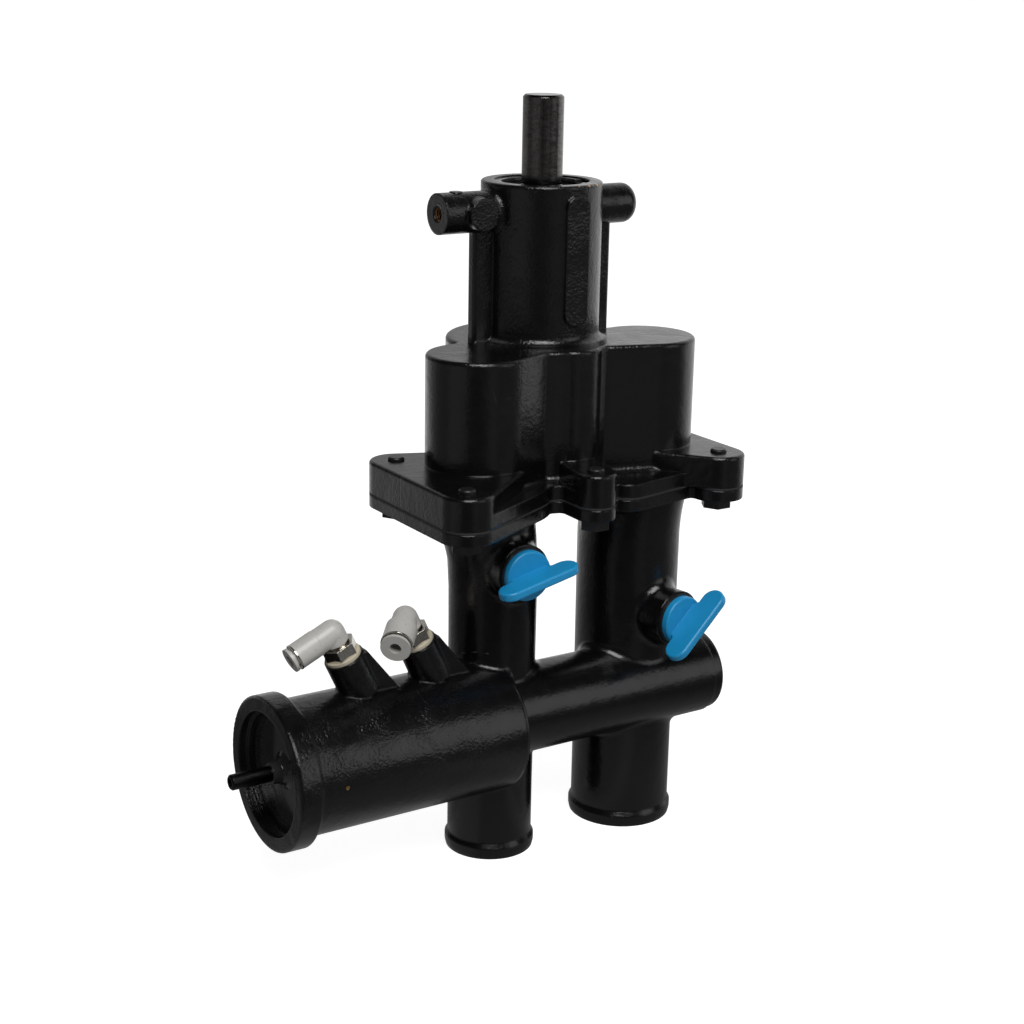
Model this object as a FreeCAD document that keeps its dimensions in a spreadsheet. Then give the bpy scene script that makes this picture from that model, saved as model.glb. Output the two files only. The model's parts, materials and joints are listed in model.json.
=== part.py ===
"""Seawater pump: a vertical shaft turns a rubber impeller in a cast chamber, two columns carry
the water down to two hose tails, and an air cylinder pulls a drain stem through the cross tube.

Frame: millimetres, +Z up along the drive shaft, origin on the shaft's axis in the plane of the
barrel's top face. The drain plugs face -Y and the air cylinder lies along -X.
"""
import FreeCAD
import Part
import math
import os
import Sketcher
from FreeCAD import Placement, Rotation, Vector

doc = FreeCAD.newDocument("SeawaterPump")

# Driving dimensions, in millimetres and degrees
DIMENSIONS = {
    # Drive shaft and barrel
    "shaft_radius": 7.5,
    "shaft_reach": 30.5,
    "shaft_chamfer": 0.8,
    "relief_depth": 0.3,
    "relief_width": 1.2,
    "relief_drop": 0.2,
    "barrel_radius": 22.3,
    "barrel_height": 57.2,
    "barrel_cove": 3.0,
    "barrel_edge": 1.0,
    "running_gap": 0.05,
    # Bearings, seals and the rings that hold them
    "bearing_radius": 17.5,
    "bearing_width": 11.0,
    "race_land": 2.4,
    "ball_radius": 2.95,
    "ball_count": 8,
    "ring_recess": 0.6,
    "ring_width": 1.2,
    "ring_groove": 1.1,
    "ring_inset": 2.6,
    "ring_gap_angle": 40.0,
    "dust_seal_width": 6.0,
    "spacer_length": 9.0,
    "spacer_wall": 2.0,
    "slinger_room": 6.0,
    "slinger_radius": 11.5,
    "slinger_width": 2.5,
    "slinger_gap": 1.0,
    "seal_web": 3.0,
    "web_clearance": 1.5,
    "bearing_step": 2.4,
    "seal_radius": 14.0,
    "seal_width": 8.0,
    "seal_lift": 0.5,
    "seal_shell": 1.2,
    "seal_rim": 2.2,
    "seal_lip": 1.8,
    "clip_depth": 0.5,
    "clip_rise": 1.6,
    # Impeller chamber and its columns
    "chamber_height": 52.4,
    "chamber_roof": 5.0,
    "chamber_radius": 32.5,
    "chamber_offset": 2.5,
    "impeller_bore": 27.0,
    "column_radius": 19.0,
    "duct_radius": 12.0,
    "duct_shift": 1.5,
    "left_column_out": 37.5,
    "right_column_out": 35.5,
    "column_forward": 18.3,
    "lobe_radius": 12.0,
    "lobe_out": 1.0,
    "lobe_forward": 22.0,
    "left_flank_radius": 8.0,
    "left_flank_out": 11.0,
    "right_flank_radius": 11.5,
    "right_flank_out": 16.0,
    "left_flank_forward": 19.0,
    "right_flank_forward": 20.0,
    "notch_round": 2.0,
    "chamber_edge": 1.4,
    "window_half_width": 9.0,
    "window_margin": 7.0,
    # Impeller
    "hub_radius": 11.5,
    "impeller_core": 15.0,
    "vane_count": 8,
    "vane_thickness": 3.0,
    "vane_tip": 2.3,
    "vane_clearance": 0.4,
    "hub_inset": 1.0,
    "impeller_end_gap": 0.4,
    "key_width": 4.0,
    "key_height": 4.0,
    "key_length": 28.0,
    "cam_depth": 3.4,
    "cam_half_width": 15.0,
    "wear_plate_thickness": 1.2,
    "wear_plate_lap": 1.4,
    # Flange between the two castings
    "ledge_thickness": 5.0,
    "pad_thickness": 11.8,
    "plate_thickness": 4.4,
    "gasket_thickness": 0.8,
    "ledge_margin": 8.0,
    "back_margin": 6.0,
    "front_web_out": 12.0,
    "front_web_forward": 42.5,
    "front_web_radius": 7.5,
    "skirt_out": 10.0,
    "skirt_forward": 35.0,
    "skirt_radius": 10.0,
    "skirt_root": 12.0,
    "back_web_radius": 20.0,
    "back_pad_root": 10.0,
    "right_pad_inset": 2.0,
    "pad_radius": 9.8,
    "pad_edge": 1.2,
    "ledge_round": 2.5,
    "middle_pad_radius": 7.6,
    "bolt_radius": 3.0,
    "bolt_head_height": 4.0,
    "bolt_head_flats": 10.0,
    "bolt_proud": 1.2,
    "bolt_point": 0.5,
    "bolt_clearance": 0.3,
    "left_bolts_out": 60.4,
    "left_back_bolt": 0.5,
    "left_front_bolt": 49.0,
    "middle_bolt_out": 6.0,
    "middle_bolt_forward": 48.0,
    "right_bolts_out": 50.4,
    "right_front_bolt": 47.0,
    "right_back_bolt": 3.0,
    "back_bolt": 40.0,
    # Mounting bosses on the barrel
    "boss_radius": 7.4,
    "boss_drop": 10.1,
    "left_boss_reach": 44.1,
    "right_boss_reach": 39.5,
    "boss_hole_radius": 2.5,
    "boss_hole_depth": 14.0,
    "boss_hole_sink": 0.6,
    "boss_pad_radius": 5.9,
    "boss_pad_out": 30.0,
    "boss_pad_reach": 9.6,
    "boss_spot_radius": 2.4,
    "boss_spot_out": 36.5,
    "boss_spot_rise": 0.2,
    "boss_round": 4.0,
    "boss_root_round": 1.5,
    "rib_reach": 30.0,
    "rib_thickness": 5.0,
    "rib_edge": 1.5,
    "front_pad_half_width": 5.0,
    "front_pad_top": 3.3,
    "front_pad_length": 47.2,
    "front_pad_rise": 1.1,
    "front_pad_out": 0.8,
    # Hose tails
    "tail_drop": 138.6,
    "tail_forward": 19.2,
    "left_tail_out": 30.6,
    "right_tail_out": 30.7,
    "left_tail_radius": 16.0,
    "right_tail_radius": 19.2,
    "tail_wall": 3.0,
    "tail_draft": 0.4,
    "cast_round": 3.0,
    "left_root_round": 2.5,
    "right_root_round": 3.5,
    "plug_root_round": 4.0,
    "drain_line_round": 2.0,
    "bead_rise": 1.0,
    "bead_height": 6.0,
    "left_flare_length": 30.0,
    "left_flare_radius": 20.0,
    "right_flare_length": 22.0,
    "right_flare_radius": 20.0,
    # Cross tube and its drain valve
    "drain_forward": 27.2,
    "cross_rise": 55.6,
    "cross_radius": 16.5,
    "cross_reach": 58.0,
    "cap_radius": 15.8,
    "cap_edge": 1.0,
    "cap_thickness": 4.3,
    "spigot_hold": 3.0,
    "spigot_floor": 2.0,
    "valve_bore": 9.0,
    "drain_room": 11.5,
    "drain_room_length": 13.0,
    "drain_hole_radius": 4.0,
    "valve_length": 6.0,
    "stem_radius": 4.0,
    "stem_travel": 10.0,
    # Air cylinder
    "cylinder_rise": 52.5,
    "cylinder_radius": 24.55,
    "cylinder_reach": 127.6,
    "cylinder_root": 32.7,
    "cylinder_edge": 3.0,
    "rim_radius": 27.8,
    "rim_width": 8.4,
    "rim_edge": 0.8,
    "mouth_radius": 22.4,
    "mouth_depth": 3.2,
    "cap_seat_radius": 21.3,
    "cap_seat_depth": 13.7,
    "piston_bore": 20.0,
    "cylinder_floor": 52.0,
    "piston_width": 9.0,
    "piston_out": 66.0,
    "piston_nut_flats": 11.0,
    "piston_nut_height": 3.2,
    "end_cap_recess": 7.0,
    "cap_ring_width": 1.3,
    "cap_ring_depth": 1.6,
    "cap_ring_groove": 0.8,
    "cap_boss_radius": 6.8,
    "cap_boss_tip": 3.7,
    "cap_boss_length": 5.5,
    "indicator_radius": 2.8,
    "indicator_reach": 13.5,
    "indicator_hole": 1.5,
    "indicator_hole_depth": 5.0,
    "indicator_edge": 0.5,
    "seal_cord": 1.1,
    "seal_cord_gap": 0.1,
    # Air fittings
    "port_tilt": 25.0,
    "port_boss_radius": 7.2,
    "port_boss_rise": 37.9,
    "port_boss_length": 16.0,
    "outer_port_out": 97.0,
    "inner_port_out": 67.7,
    "port_web": 9.0,
    "port_web_run": 20.0,
    "port_web_drop": 6.0,
    "port_web_lap": 4.0,
    "port_lip": 0.6,
    "port_thread_radius": 4.0,
    "port_thread_depth": 8.0,
    "port_hole_radius": 1.5,
    "stud_seal_radius": 6.6,
    "stud_seal_height": 1.2,
    "stud_flats": 11.0,
    "stud_hex_height": 4.6,
    "stud_spigot_radius": 3.2,
    "stud_spigot_short": 1.6,
    "elbow_start": 6.8,
    "elbow_rise": 10.7,
    "elbow_radius": 4.6,
    "outer_barrel_radius": 4.8,
    "inner_barrel_radius": 5.7,
    "elbow_barrel_start": 6.4,
    "elbow_length": 15.8,
    "elbow_clearance": 0.3,
    "collet_radius": 3.4,
    "collet_lip_inset": 0.3,
    "collet_lip": 1.1,
    "collet_gap": 0.9,
    "collet_depth": 7.0,
    "collet_room": 1.2,
    "air_tube_radius": 2.05,
    "outer_elbow_turn": 180.0,
    "inner_elbow_turn": 226.0,
    # Drain plugs
    "left_plug_drop": 24.1,
    "left_plug_seat": 20.9,
    "left_plug_yaw": 0.0,
    "left_wing_tilt": 12.4,
    "right_plug_drop": 50.6,
    "right_plug_seat": 28.0,
    "right_plug_yaw": 8.0,
    "right_wing_tilt": 39.8,
    "plug_boss_radius": 10.6,
    "plug_disc_radius": 9.3,
    "plug_disc_height": 2.6,
    "plug_seal_radius": 9.9,
    "plug_seal_height": 1.2,
    "plug_shank_radius": 6.0,
    "plug_shank_length": 9.0,
    "wing_thickness": 3.3,
    "wing_edge": 0.9,
    "wing_notch": 1.5,
    "wing_root": 1.3,
    "plug_disc_edge": 0.8,
    "wing_lobe_out": 11.6,
    "wing_lobe_radius": 4.7,
    "wing_lobe_rise": 7.1,
}

sheet = doc.addObject("Spreadsheet::Sheet", "Sizes")
for row, (alias, amount) in enumerate(DIMENSIONS.items(), start=1):
    sheet.set(f"A{row}", alias)
    sheet.set(f"B{row}", str(amount))
    sheet.setAlias(f"B{row}", alias)
doc.recompute()


class Size:
    """A length or angle that carries its number and the sheet expression that gives it."""

    def __init__(self, number, text):
        self.number = float(number)
        self.text = text

    def __add__(self, other):
        other = as_size(other)
        return Size(self.number + other.number, f"({self.text} + {other.text})")

    def __sub__(self, other):
        other = as_size(other)
        return Size(self.number - other.number, f"({self.text} - {other.text})")

    def __rsub__(self, other):
        return as_size(other) - self

    def __mul__(self, factor):
        factor = as_size(factor)
        return Size(self.number * factor.number, f"({self.text} * {factor.text})")

    def __truediv__(self, divisor):
        divisor = as_size(divisor)
        return Size(self.number / divisor.number, f"({self.text} / {divisor.text})")

    def __neg__(self):
        return Size(-self.number, f"(-{self.text})")

    __radd__ = __add__
    __rmul__ = __mul__


def as_size(thing):
    """Give a plain number as a Size, and a Size as it is."""
    if isinstance(thing, Size):
        return thing
    return Size(thing, repr(float(thing)))


class SheetSizes:
    """The sheet's values by name, such as sizes.barrel_radius."""

    def __getattr__(self, alias):
        return Size(sheet.get(alias), f"Sizes.{alias}")


sizes = SheetSizes()


# Levels above and below the barrel's top face

chamber_top = -sizes.barrel_height
seam = chamber_top - sizes.chamber_height
plate_top = seam - sizes.gasket_thickness
plate_bottom = plate_top - sizes.plate_thickness
pad_top = seam + sizes.pad_thickness
ledge_top = seam + sizes.ledge_thickness
feet = seam - sizes.tail_drop
cross_level = feet + sizes.cross_rise
cylinder_level = feet + sizes.cylinder_rise
chamber_ceiling = chamber_top - sizes.chamber_roof

# Stack of rings in the barrel, from its top face down
ring_top = -sizes.ring_recess
dust_seal_top = ring_top - sizes.ring_width
upper_bearing_top = dust_seal_top - sizes.dust_seal_width
spacer_top = upper_bearing_top - sizes.bearing_width
lower_bearing_top = spacer_top - sizes.spacer_length
lower_bearing_bottom = lower_bearing_top - sizes.bearing_width
slinger_floor = lower_bearing_bottom - sizes.slinger_room
seal_top = slinger_floor - sizes.seal_web

# Places across the pump
tail_y = -sizes.tail_forward
drain_y = -sizes.drain_forward
left_tail = (-sizes.left_tail_out, tail_y)
right_tail = (sizes.right_tail_out, tail_y)
left_column = (-sizes.left_column_out, -sizes.column_forward)
right_column = (sizes.right_column_out, -sizes.column_forward)
left_bore = sizes.left_tail_radius - sizes.tail_wall
right_bore = sizes.right_tail_radius - sizes.tail_wall
left_land_top = cylinder_level - sizes.cylinder_radius - sizes.cast_round
right_land_top = cross_level - sizes.cross_radius - sizes.cast_round
left_duct = (-sizes.left_column_out - sizes.duct_shift, -sizes.column_forward)
right_duct = (sizes.right_column_out + sizes.duct_shift, -sizes.column_forward)
lobe = (-sizes.lobe_out, -sizes.lobe_forward)
bolt_places = (
    (-sizes.left_bolts_out, sizes.left_back_bolt),
    (-sizes.left_bolts_out, -sizes.left_front_bolt),
    (-sizes.middle_bolt_out, -sizes.middle_bolt_forward),
    (sizes.right_bolts_out, -sizes.right_front_bolt),
    (sizes.right_bolts_out, sizes.right_back_bolt),
    (-sizes.chamber_offset, sizes.back_bolt),
)

UP = Vector(0, 0, 1)
NO_TURN = Rotation()
ALONG_MINUS_Y = Rotation(Vector(1, 0, 0), 90)
LEFTWARD = Rotation(Vector(0, 1, 0), -90)

# How far a solid is run on inside another one, or a cut past a face, so that the two meet cleanly
OVERRUN = 1.0

# How much of the room beside a fillet it may take
ROUND_SHARE = 0.9


# Pieces turned on a lathe: a closed profile of (radius, height) corners about the piece's axis

def bind_place(item, at, turn):
    """Put an item at a point given by sizes, with a fixed turn."""
    item.Placement = Placement(Vector(*(as_size(c).number for c in at)), turn)
    for axis_name, coordinate in zip("xyz", at):
        item.setExpression(f"Placement.Base.{axis_name}", as_size(coordinate).text)


def origin_feature(body, role):
    """Find one of a body's own origin planes or axes by its role."""
    return next(item for item in body.Origin.OriginFeatures if item.Role == role)


def outline_sketch(body, name, plane, corners):
    """Draw a closed outline whose corners are held by the sheet's values."""
    sketch = body.newObject("Sketcher::SketchObject", name)
    sketch.AttachmentSupport = (origin_feature(body, plane), [""])
    sketch.MapMode = "FlatFace"
    corners = [(as_size(across), as_size(up)) for across, up in corners]
    points = [Vector(across.number, up.number, 0) for across, up in corners]
    for start, end in zip(points, points[1:] + points[:1]):
        sketch.addGeometry(Part.LineSegment(start, end), False)
    for index in range(len(points)):
        following = (index + 1) % len(points)
        sketch.addConstraint(Sketcher.Constraint("Coincident", index, 2, following, 1))
    for index, corner in enumerate(corners):
        for kind, coordinate in zip(("DistanceX", "DistanceY"), corner):
            constraint = Sketcher.Constraint(kind, -1, 1, index, 1, coordinate.number)
            place = sketch.addConstraint(constraint)
            sketch.setExpression(f"Constraints[{place}]", coordinate.text)
    return sketch


def turned(label, profile, at=(0, 0, 0), turn=NO_TURN):
    """Turn a profile through a full circle about the local Z axis."""
    body = doc.addObject("PartDesign::Body", label)
    body.Label = label
    sketch = outline_sketch(body, f"{label}_profile", "XZ_Plane", profile)
    revolution = body.newObject("PartDesign::Revolution", f"{label}_revolution")
    revolution.Profile = sketch
    revolution.ReferenceAxis = (sketch, ["V_Axis"])
    revolution.Angle = 360
    body.Tip = revolution
    bind_place(body, at, turn)
    return body


def ring_profile(inner, outer, low, high):
    """Give the four corners of a plain ring's section."""
    return [(inner, low), (outer, low), (outer, high), (inner, high)]


# Shapes made with Part's own functions, for the castings and the moulded pieces

def num(thing):
    """Give the plain number of a size."""
    return as_size(thing).number


def point(x, y, z=0):
    """Give a vector from sizes or numbers."""
    return Vector(num(x), num(y), num(z))


def cylinder(radius, start, end):
    """Make a round bar between two points."""
    way = end - start
    return Part.makeCylinder(num(radius), way.Length, start, way)


def upright(radius, place, low, high):
    """Make an upright round bar at a plan position."""
    return cylinder(radius, point(*place, low), point(*place, high))


def disc_face(radius, place):
    """Make a flat disc in the plane of the origin."""
    circle = Part.Edge(Part.Circle(point(*place), UP, num(radius)))
    return Part.Face(Part.Wire([circle]))


def strap_face(first, first_radius, second, second_radius):
    """Make the flat outline of a belt drawn round two discs."""
    one = point(*first)
    two = point(*second)
    r1 = num(first_radius)
    r2 = num(second_radius)
    along = two - one
    span = along.Length
    along.normalize()
    side = UP.cross(along)
    lean = (r1 - r2) / span
    rise = math.sqrt(1 - lean * lean)
    left = along * lean + side * rise
    right = along * lean - side * rise
    back = Part.Arc(one + left * r1, one - along * r1, one + right * r1).toShape()
    front = Part.Arc(two + right * r2, two + along * r2, two + left * r2).toShape()
    edges = [
        back,
        Part.LineSegment(one + right * r1, two + right * r2).toShape(),
        front,
        Part.LineSegment(two + left * r2, one + left * r1).toShape(),
    ]
    return Part.Face(Part.Wire(Part.__sortEdges__(edges)))


def joined(shapes):
    """Fuse shapes into one and clear the seams between level faces."""
    return shapes[0].multiFuse(shapes[1:]).removeSplitter()


def joined_loose(shapes):
    """Fuse shapes that may lie apart, to cut them all at once."""
    return shapes[0].multiFuse(shapes[1:])


def rounded_plans(faces, radius):
    """Fuse flat faces and round the inward corners of each outline that comes of it."""
    plans = []
    for face in joined(faces).Faces:
        grown = Part.Face(face.OuterWire).makeOffset2D(num(radius))
        shrunk = grown.makeOffset2D(-num(radius))
        plans.append(Part.Face(shrunk.Faces[0].OuterWire))
    return plans


def rounded_plan(faces, radius):
    """Fuse flat faces that touch and round the inward corners of their one outline."""
    return rounded_plans(faces, radius)[0]


def prism(face, low, high):
    """Raise a flat face between two levels."""
    lifted = face.copy()
    lifted.translate(point(0, 0, low))
    return lifted.extrude(point(0, 0, as_size(high) - low))


def edges_at(shape, level):
    """List the edges that lie wholly at one level."""
    wanted = num(level)
    return [
        edge for edge in shape.Edges
        if all(abs(height - wanted) < 1e-3 for height in (edge.BoundBox.ZMin, edge.BoundBox.ZMax))
    ]


def placed(shape, at, turn):
    """Turn a shape about the origin, then move it."""
    moved = shape.copy()
    moved.Placement = Placement(point(*at), turn)
    return moved


def part_feature(label, shape):
    """Add a finished shape to the document as a piece of its own."""
    item = doc.addObject("Part::Feature", label)
    item.Label = label
    item.Shape = shape.Solids[0] if len(shape.Solids) == 1 else shape
    return item


def inward_edges(shape):
    """List the edges that lie in an inward corner of a shape, where a casting has its fillets."""
    reach = 0.05
    level_enough = 0.1
    found = []
    for edge in shape.Edges:
        faces = shape.ancestorsOfType(edge, Part.Face)
        if len(faces) != 2 or faces[0].isSame(faces[1]):
            continue
        middle = edge.valueAt((edge.FirstParameter + edge.LastParameter) / 2)
        first, second = [face.normalAt(*face.Surface.parameter(middle)) for face in faces]
        if first.getAngle(second) < level_enough:
            continue
        if shape.isInside(middle + (first - second) * reach, 1e-5, False):
            found.append(edge)
    return found


def new_edges(edges, *sources):
    """Keep the edges that none of the source shapes had before they were joined."""
    known = [edge.CenterOfMass for shape in sources for edge in shape.Edges]
    return [edge for edge in edges if all((edge.CenterOfMass - place).Length > 1e-3 for place in known)]


def ends_at(shape, distance):
    """List the round edges of a bar along X that lie at one distance along it."""
    wanted = num(distance)
    return [
        edge for edge in shape.Edges
        if all(abs(along - wanted) < 1e-3 for along in (edge.BoundBox.XMin, edge.BoundBox.XMax))
    ]


def upright_edges(shape, distance):
    """List the upright edges at one distance along X."""
    wanted = num(distance)
    return [
        edge for edge in shape.Edges
        if edge.BoundBox.XLength < 1e-3 and edge.BoundBox.YLength < 1e-3
        and abs(edge.BoundBox.XMin - wanted) < 1e-3
    ]


# Plan outlines that the two castings share

def chamber_plan():
    """Outline of the impeller chamber with its two columns and the lobe between them."""
    left_flank = (-sizes.left_flank_out, -sizes.left_flank_forward)
    right_flank = (sizes.right_flank_out, -sizes.right_flank_forward)
    faces = [
        disc_face(sizes.chamber_radius, (-sizes.chamber_offset, 0)),
        strap_face(left_column, sizes.column_radius, left_flank, sizes.left_flank_radius),
        strap_face(right_column, sizes.column_radius, right_flank, sizes.right_flank_radius),
        disc_face(sizes.lobe_radius, lobe),
    ]
    return rounded_plan(faces, sizes.notch_round)


def flange_plan():
    """Outline of the bolted joint: a belt round the columns with an ear at every bolt."""
    margin = sizes.ledge_margin
    left_back, left_front, middle, right_front, right_back, back = bolt_places
    ear = sizes.pad_radius
    front_web = (sizes.front_web_out, -sizes.front_web_forward)
    skirt = (sizes.skirt_out, -sizes.skirt_forward)
    faces = [
        disc_face(sizes.chamber_radius + sizes.back_margin, (-sizes.chamber_offset, 0)),
        strap_face(left_back, ear, left_front, ear),
        strap_face(left_front, ear, left_column, sizes.column_radius + margin),
        strap_face(left_back, ear, left_column, sizes.column_radius),
        strap_face(right_front, ear, right_back, ear),
        strap_face(right_column, sizes.column_radius + margin, right_back, ear),
        strap_face(right_column, sizes.column_radius + margin, front_web, sizes.front_web_radius),
        strap_face(middle, sizes.middle_pad_radius, lobe, sizes.lobe_radius),
        strap_face(back, sizes.middle_pad_radius, (-sizes.chamber_offset, 0), sizes.back_web_radius),
        strap_face(skirt, sizes.skirt_radius, left_column, sizes.skirt_root),
    ]
    return rounded_plan(faces, sizes.notch_round)


def pad_faces():
    """Outlines of the thick pads that the bolts screw into, as one group of faces for each pad."""
    left_back, left_front, middle, right_front, right_back, back = bolt_places
    ear = sizes.pad_radius
    column_part = sizes.column_radius - sizes.right_pad_inset
    left = [
        strap_face(left_back, ear, left_front, ear),
        strap_face(left_front, ear, left_column, sizes.column_radius),
        strap_face(left_back, ear, left_column, sizes.column_radius),
    ]
    right = [
        strap_face(right_front, ear, right_column, column_part),
        strap_face(right_front, ear, right_back, ear),
        strap_face(right_back, ear, right_column, column_part),
    ]
    front = [strap_face(middle, sizes.middle_pad_radius, lobe, sizes.middle_pad_radius)]
    rear = [strap_face(back, sizes.middle_pad_radius, (-sizes.chamber_offset, 0), sizes.back_pad_root)]
    return [left, right, front, rear]


def cove_ring(radius, level, cove, place, upward=1):
    """Make the hollow-cornered skirt at the foot of an upright round wall."""
    r = num(radius)
    c = num(cove)
    base = Vector(r - OVERRUN, 0, 0)
    toe = Vector(r + c, 0, 0)
    top = Vector(r, 0, upward * c)
    middle = Vector(r + c - c * math.cos(math.pi / 4), 0, upward * (c - c * math.sin(math.pi / 4)))
    inner = Vector(r - OVERRUN, 0, upward * c)
    edges = [
        Part.LineSegment(base, toe).toShape(),
        Part.Arc(toe, middle, top).toShape(),
        Part.LineSegment(top, inner).toShape(),
        Part.LineSegment(inner, base).toShape(),
    ]
    ring = Part.Face(Part.Wire(edges)).revolve(Vector(), UP, 360)
    ring.translate(point(*place, level))
    return ring


# Upper casting: barrel, bosses, impeller chamber and columns

def boss_bar(side, reach, end_round=None):
    """Make the round bar of one mounting boss, with a rounded end where one is given."""
    axis_level = -sizes.boss_drop
    boss = cylinder(sizes.boss_radius, point(0, 0, axis_level), point(side * reach, 0, axis_level))
    if end_round is None:
        return boss
    return boss.makeFillet(num(end_round), ends_at(boss, side * reach))


def bossed_barrel():
    """Make the barrel with its two mounting bosses, rounded where they meet."""
    barrel = upright(sizes.barrel_radius, (0, 0), chamber_top - OVERRUN, 0)
    barrel = barrel.makeFillet(num(sizes.barrel_edge), edges_at(barrel, 0))
    left = boss_bar(-1, sizes.left_boss_reach)
    right = boss_bar(1, sizes.right_boss_reach, sizes.boss_round)
    body = joined([barrel, left, right])
    room = num(sizes.boss_drop - sizes.boss_radius - sizes.barrel_edge) * ROUND_SHARE
    return body.makeFillet(min(num(sizes.boss_root_round), room), inward_edges(body))


def boss_rib(side):
    """Make the rib that carries a mounting boss down to the chamber."""
    rib = Part.makeBox(
        num(sizes.rib_reach), num(sizes.rib_thickness), num(sizes.barrel_height - sizes.boss_drop),
        point(0 if side > 0 else -sizes.rib_reach, -sizes.rib_thickness / 2, chamber_top),
    )
    return rib.makeFillet(num(sizes.rib_edge), upright_edges(rib, side * sizes.rib_reach))


def boss_hole(side, reach):
    """Make the countersunk tapped hole in a mounting boss."""
    level = -sizes.boss_drop
    mouth = point(side * reach, 0, level)
    floor = point(side * (reach - sizes.boss_hole_depth), 0, level)
    hole = cylinder(sizes.boss_hole_radius, floor, mouth)
    narrow = num(sizes.boss_hole_radius)
    sink = num(sizes.boss_hole_sink)
    cone = Part.makeCone(narrow + sink, narrow, sink, mouth, floor - mouth)
    return [hole, cone]


def raised_pad(faces):
    """Raise one pad from the joint, with its upper edge rounded."""
    solid = prism(rounded_plan(faces, sizes.notch_round), seam, pad_top)
    return solid.makeFillet(num(sizes.pad_edge), edges_at(solid, pad_top))


def upper_body():
    """Make the outside of the upper casting."""
    chamber = prism(chamber_plan(), seam, chamber_top)
    chamber = chamber.makeFillet(num(sizes.chamber_edge), edges_at(chamber, chamber_top))
    ledge = prism(flange_plan(), seam, ledge_top)
    chamber = joined([chamber, ledge])
    chamber = chamber.makeFillet(num(sizes.ledge_round), inward_edges(chamber))
    pads = [raised_pad(faces) for faces in pad_faces()]
    cove = cove_ring(sizes.barrel_radius, chamber_top, sizes.barrel_cove, (0, 0))
    pad_y = -sizes.boss_pad_reach
    level = -sizes.boss_drop
    cross_pad = cylinder(
        sizes.boss_pad_radius,
        point(-sizes.boss_pad_out, 0, level),
        point(-sizes.boss_pad_out, pad_y, level),
    )
    spot_top = level + sizes.boss_radius + sizes.boss_spot_rise
    spot = upright(sizes.boss_spot_radius, (-sizes.boss_spot_out, 0), level, spot_top)
    neck = [bossed_barrel(), cove, boss_rib(-1), boss_rib(1), cross_pad, spot, front_pad()]
    return joined([chamber] + neck + pads)


def front_pad():
    """Make the flat raised strip down the front of the barrel."""
    half = sizes.front_pad_half_width
    low = -sizes.front_pad_top - sizes.front_pad_length + half
    high = -sizes.front_pad_top - half
    front = sizes.barrel_radius + sizes.front_pad_rise
    outline = strap_face((0, 0), half, (0, high - low), half)
    strip = outline.extrude(point(0, 0, sizes.barrel_radius / 2 + sizes.front_pad_rise))
    back = front - sizes.barrel_radius / 2 - sizes.front_pad_rise
    return placed(strip, (sizes.front_pad_out, -back, low), ALONG_MINUS_Y)


def upper_hollows():
    """List every hollow of the upper casting."""
    hollows = [
        upright(sizes.bearing_radius, (0, 0), lower_bearing_bottom, OVERRUN),
        upright(sizes.bearing_radius + sizes.ring_groove, (0, 0), dust_seal_top, ring_top),
        upright(sizes.bearing_radius - sizes.bearing_step, (0, 0), slinger_floor, lower_bearing_bottom),
        upright(sizes.shaft_radius + sizes.web_clearance, (0, 0), seal_top, slinger_floor),
        upright(sizes.seal_radius, (0, 0), chamber_ceiling, seal_top),
        upright(sizes.impeller_bore, (0, 0), seam, chamber_ceiling),
    ]
    for duct in (left_duct, right_duct):
        hollows.append(upright(sizes.duct_radius, duct, seam, chamber_ceiling))
        low = seam + sizes.window_margin
        high = chamber_ceiling - sizes.window_margin
        window = strap_face(duct, sizes.window_half_width, (0, 0), sizes.window_half_width)
        hollows.append(prism(window, low, high))
    for place in bolt_places:
        hollows.append(upright(sizes.bolt_radius + sizes.running_gap, place, seam, pad_top))
    hollows += boss_hole(-1, sizes.left_boss_reach)
    hollows += boss_hole(1, sizes.right_boss_reach)
    return hollows


def pump_housing():
    """Build the upper casting."""
    part_feature("pump_housing", upper_body().cut(joined_loose(upper_hollows())))


# Lower casting: plate, hose tails, cross tube, air cylinder and their bosses

def loft(sections):
    """Run a smooth skin through level circles given as (place, level, radius)."""
    wires = []
    for place, level, radius in sections:
        circle = Part.Circle(point(*place, level), UP, num(radius))
        wires.append(Part.Wire([Part.Edge(circle)]))
    return Part.makeLoft(wires, True, False)


def between(first, second, share):
    """Give the plan place a share of the way from the first to the second."""
    return tuple(as_size(a) + (as_size(b) - a) * share for a, b in zip(first, second))


def flare_sections(tail, tail_radius, top, top_radius, length, top_level):
    """List the circles of a hose tail's flare, which eases out towards the plate."""
    sections = []
    neck = tail_radius + sizes.tail_draft
    for share, spread in ((0.0, 0.0), (0.35, 0.06), (0.7, 0.4), (1.0, 1.0)):
        level = top_level - length + length * share
        radius = neck + (top_radius - neck) * spread
        sections.append((between(tail, top, spread), level, radius))
    return sections


def tail_outside(tail, radius, top, top_radius, flare_length, land_top):
    """Make the outside of one hose tail: straight hose land, drafted column and flare."""
    flare_foot = plate_bottom - flare_length
    column = Part.makeCone(
        num(radius), num(radius + sizes.tail_draft), num(flare_foot - land_top), point(*tail, land_top), UP,
    )
    return [
        upright(radius, tail, feet, land_top),
        column,
        loft(flare_sections(tail, radius, top, top_radius, flare_length, plate_bottom)),
    ]


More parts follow.
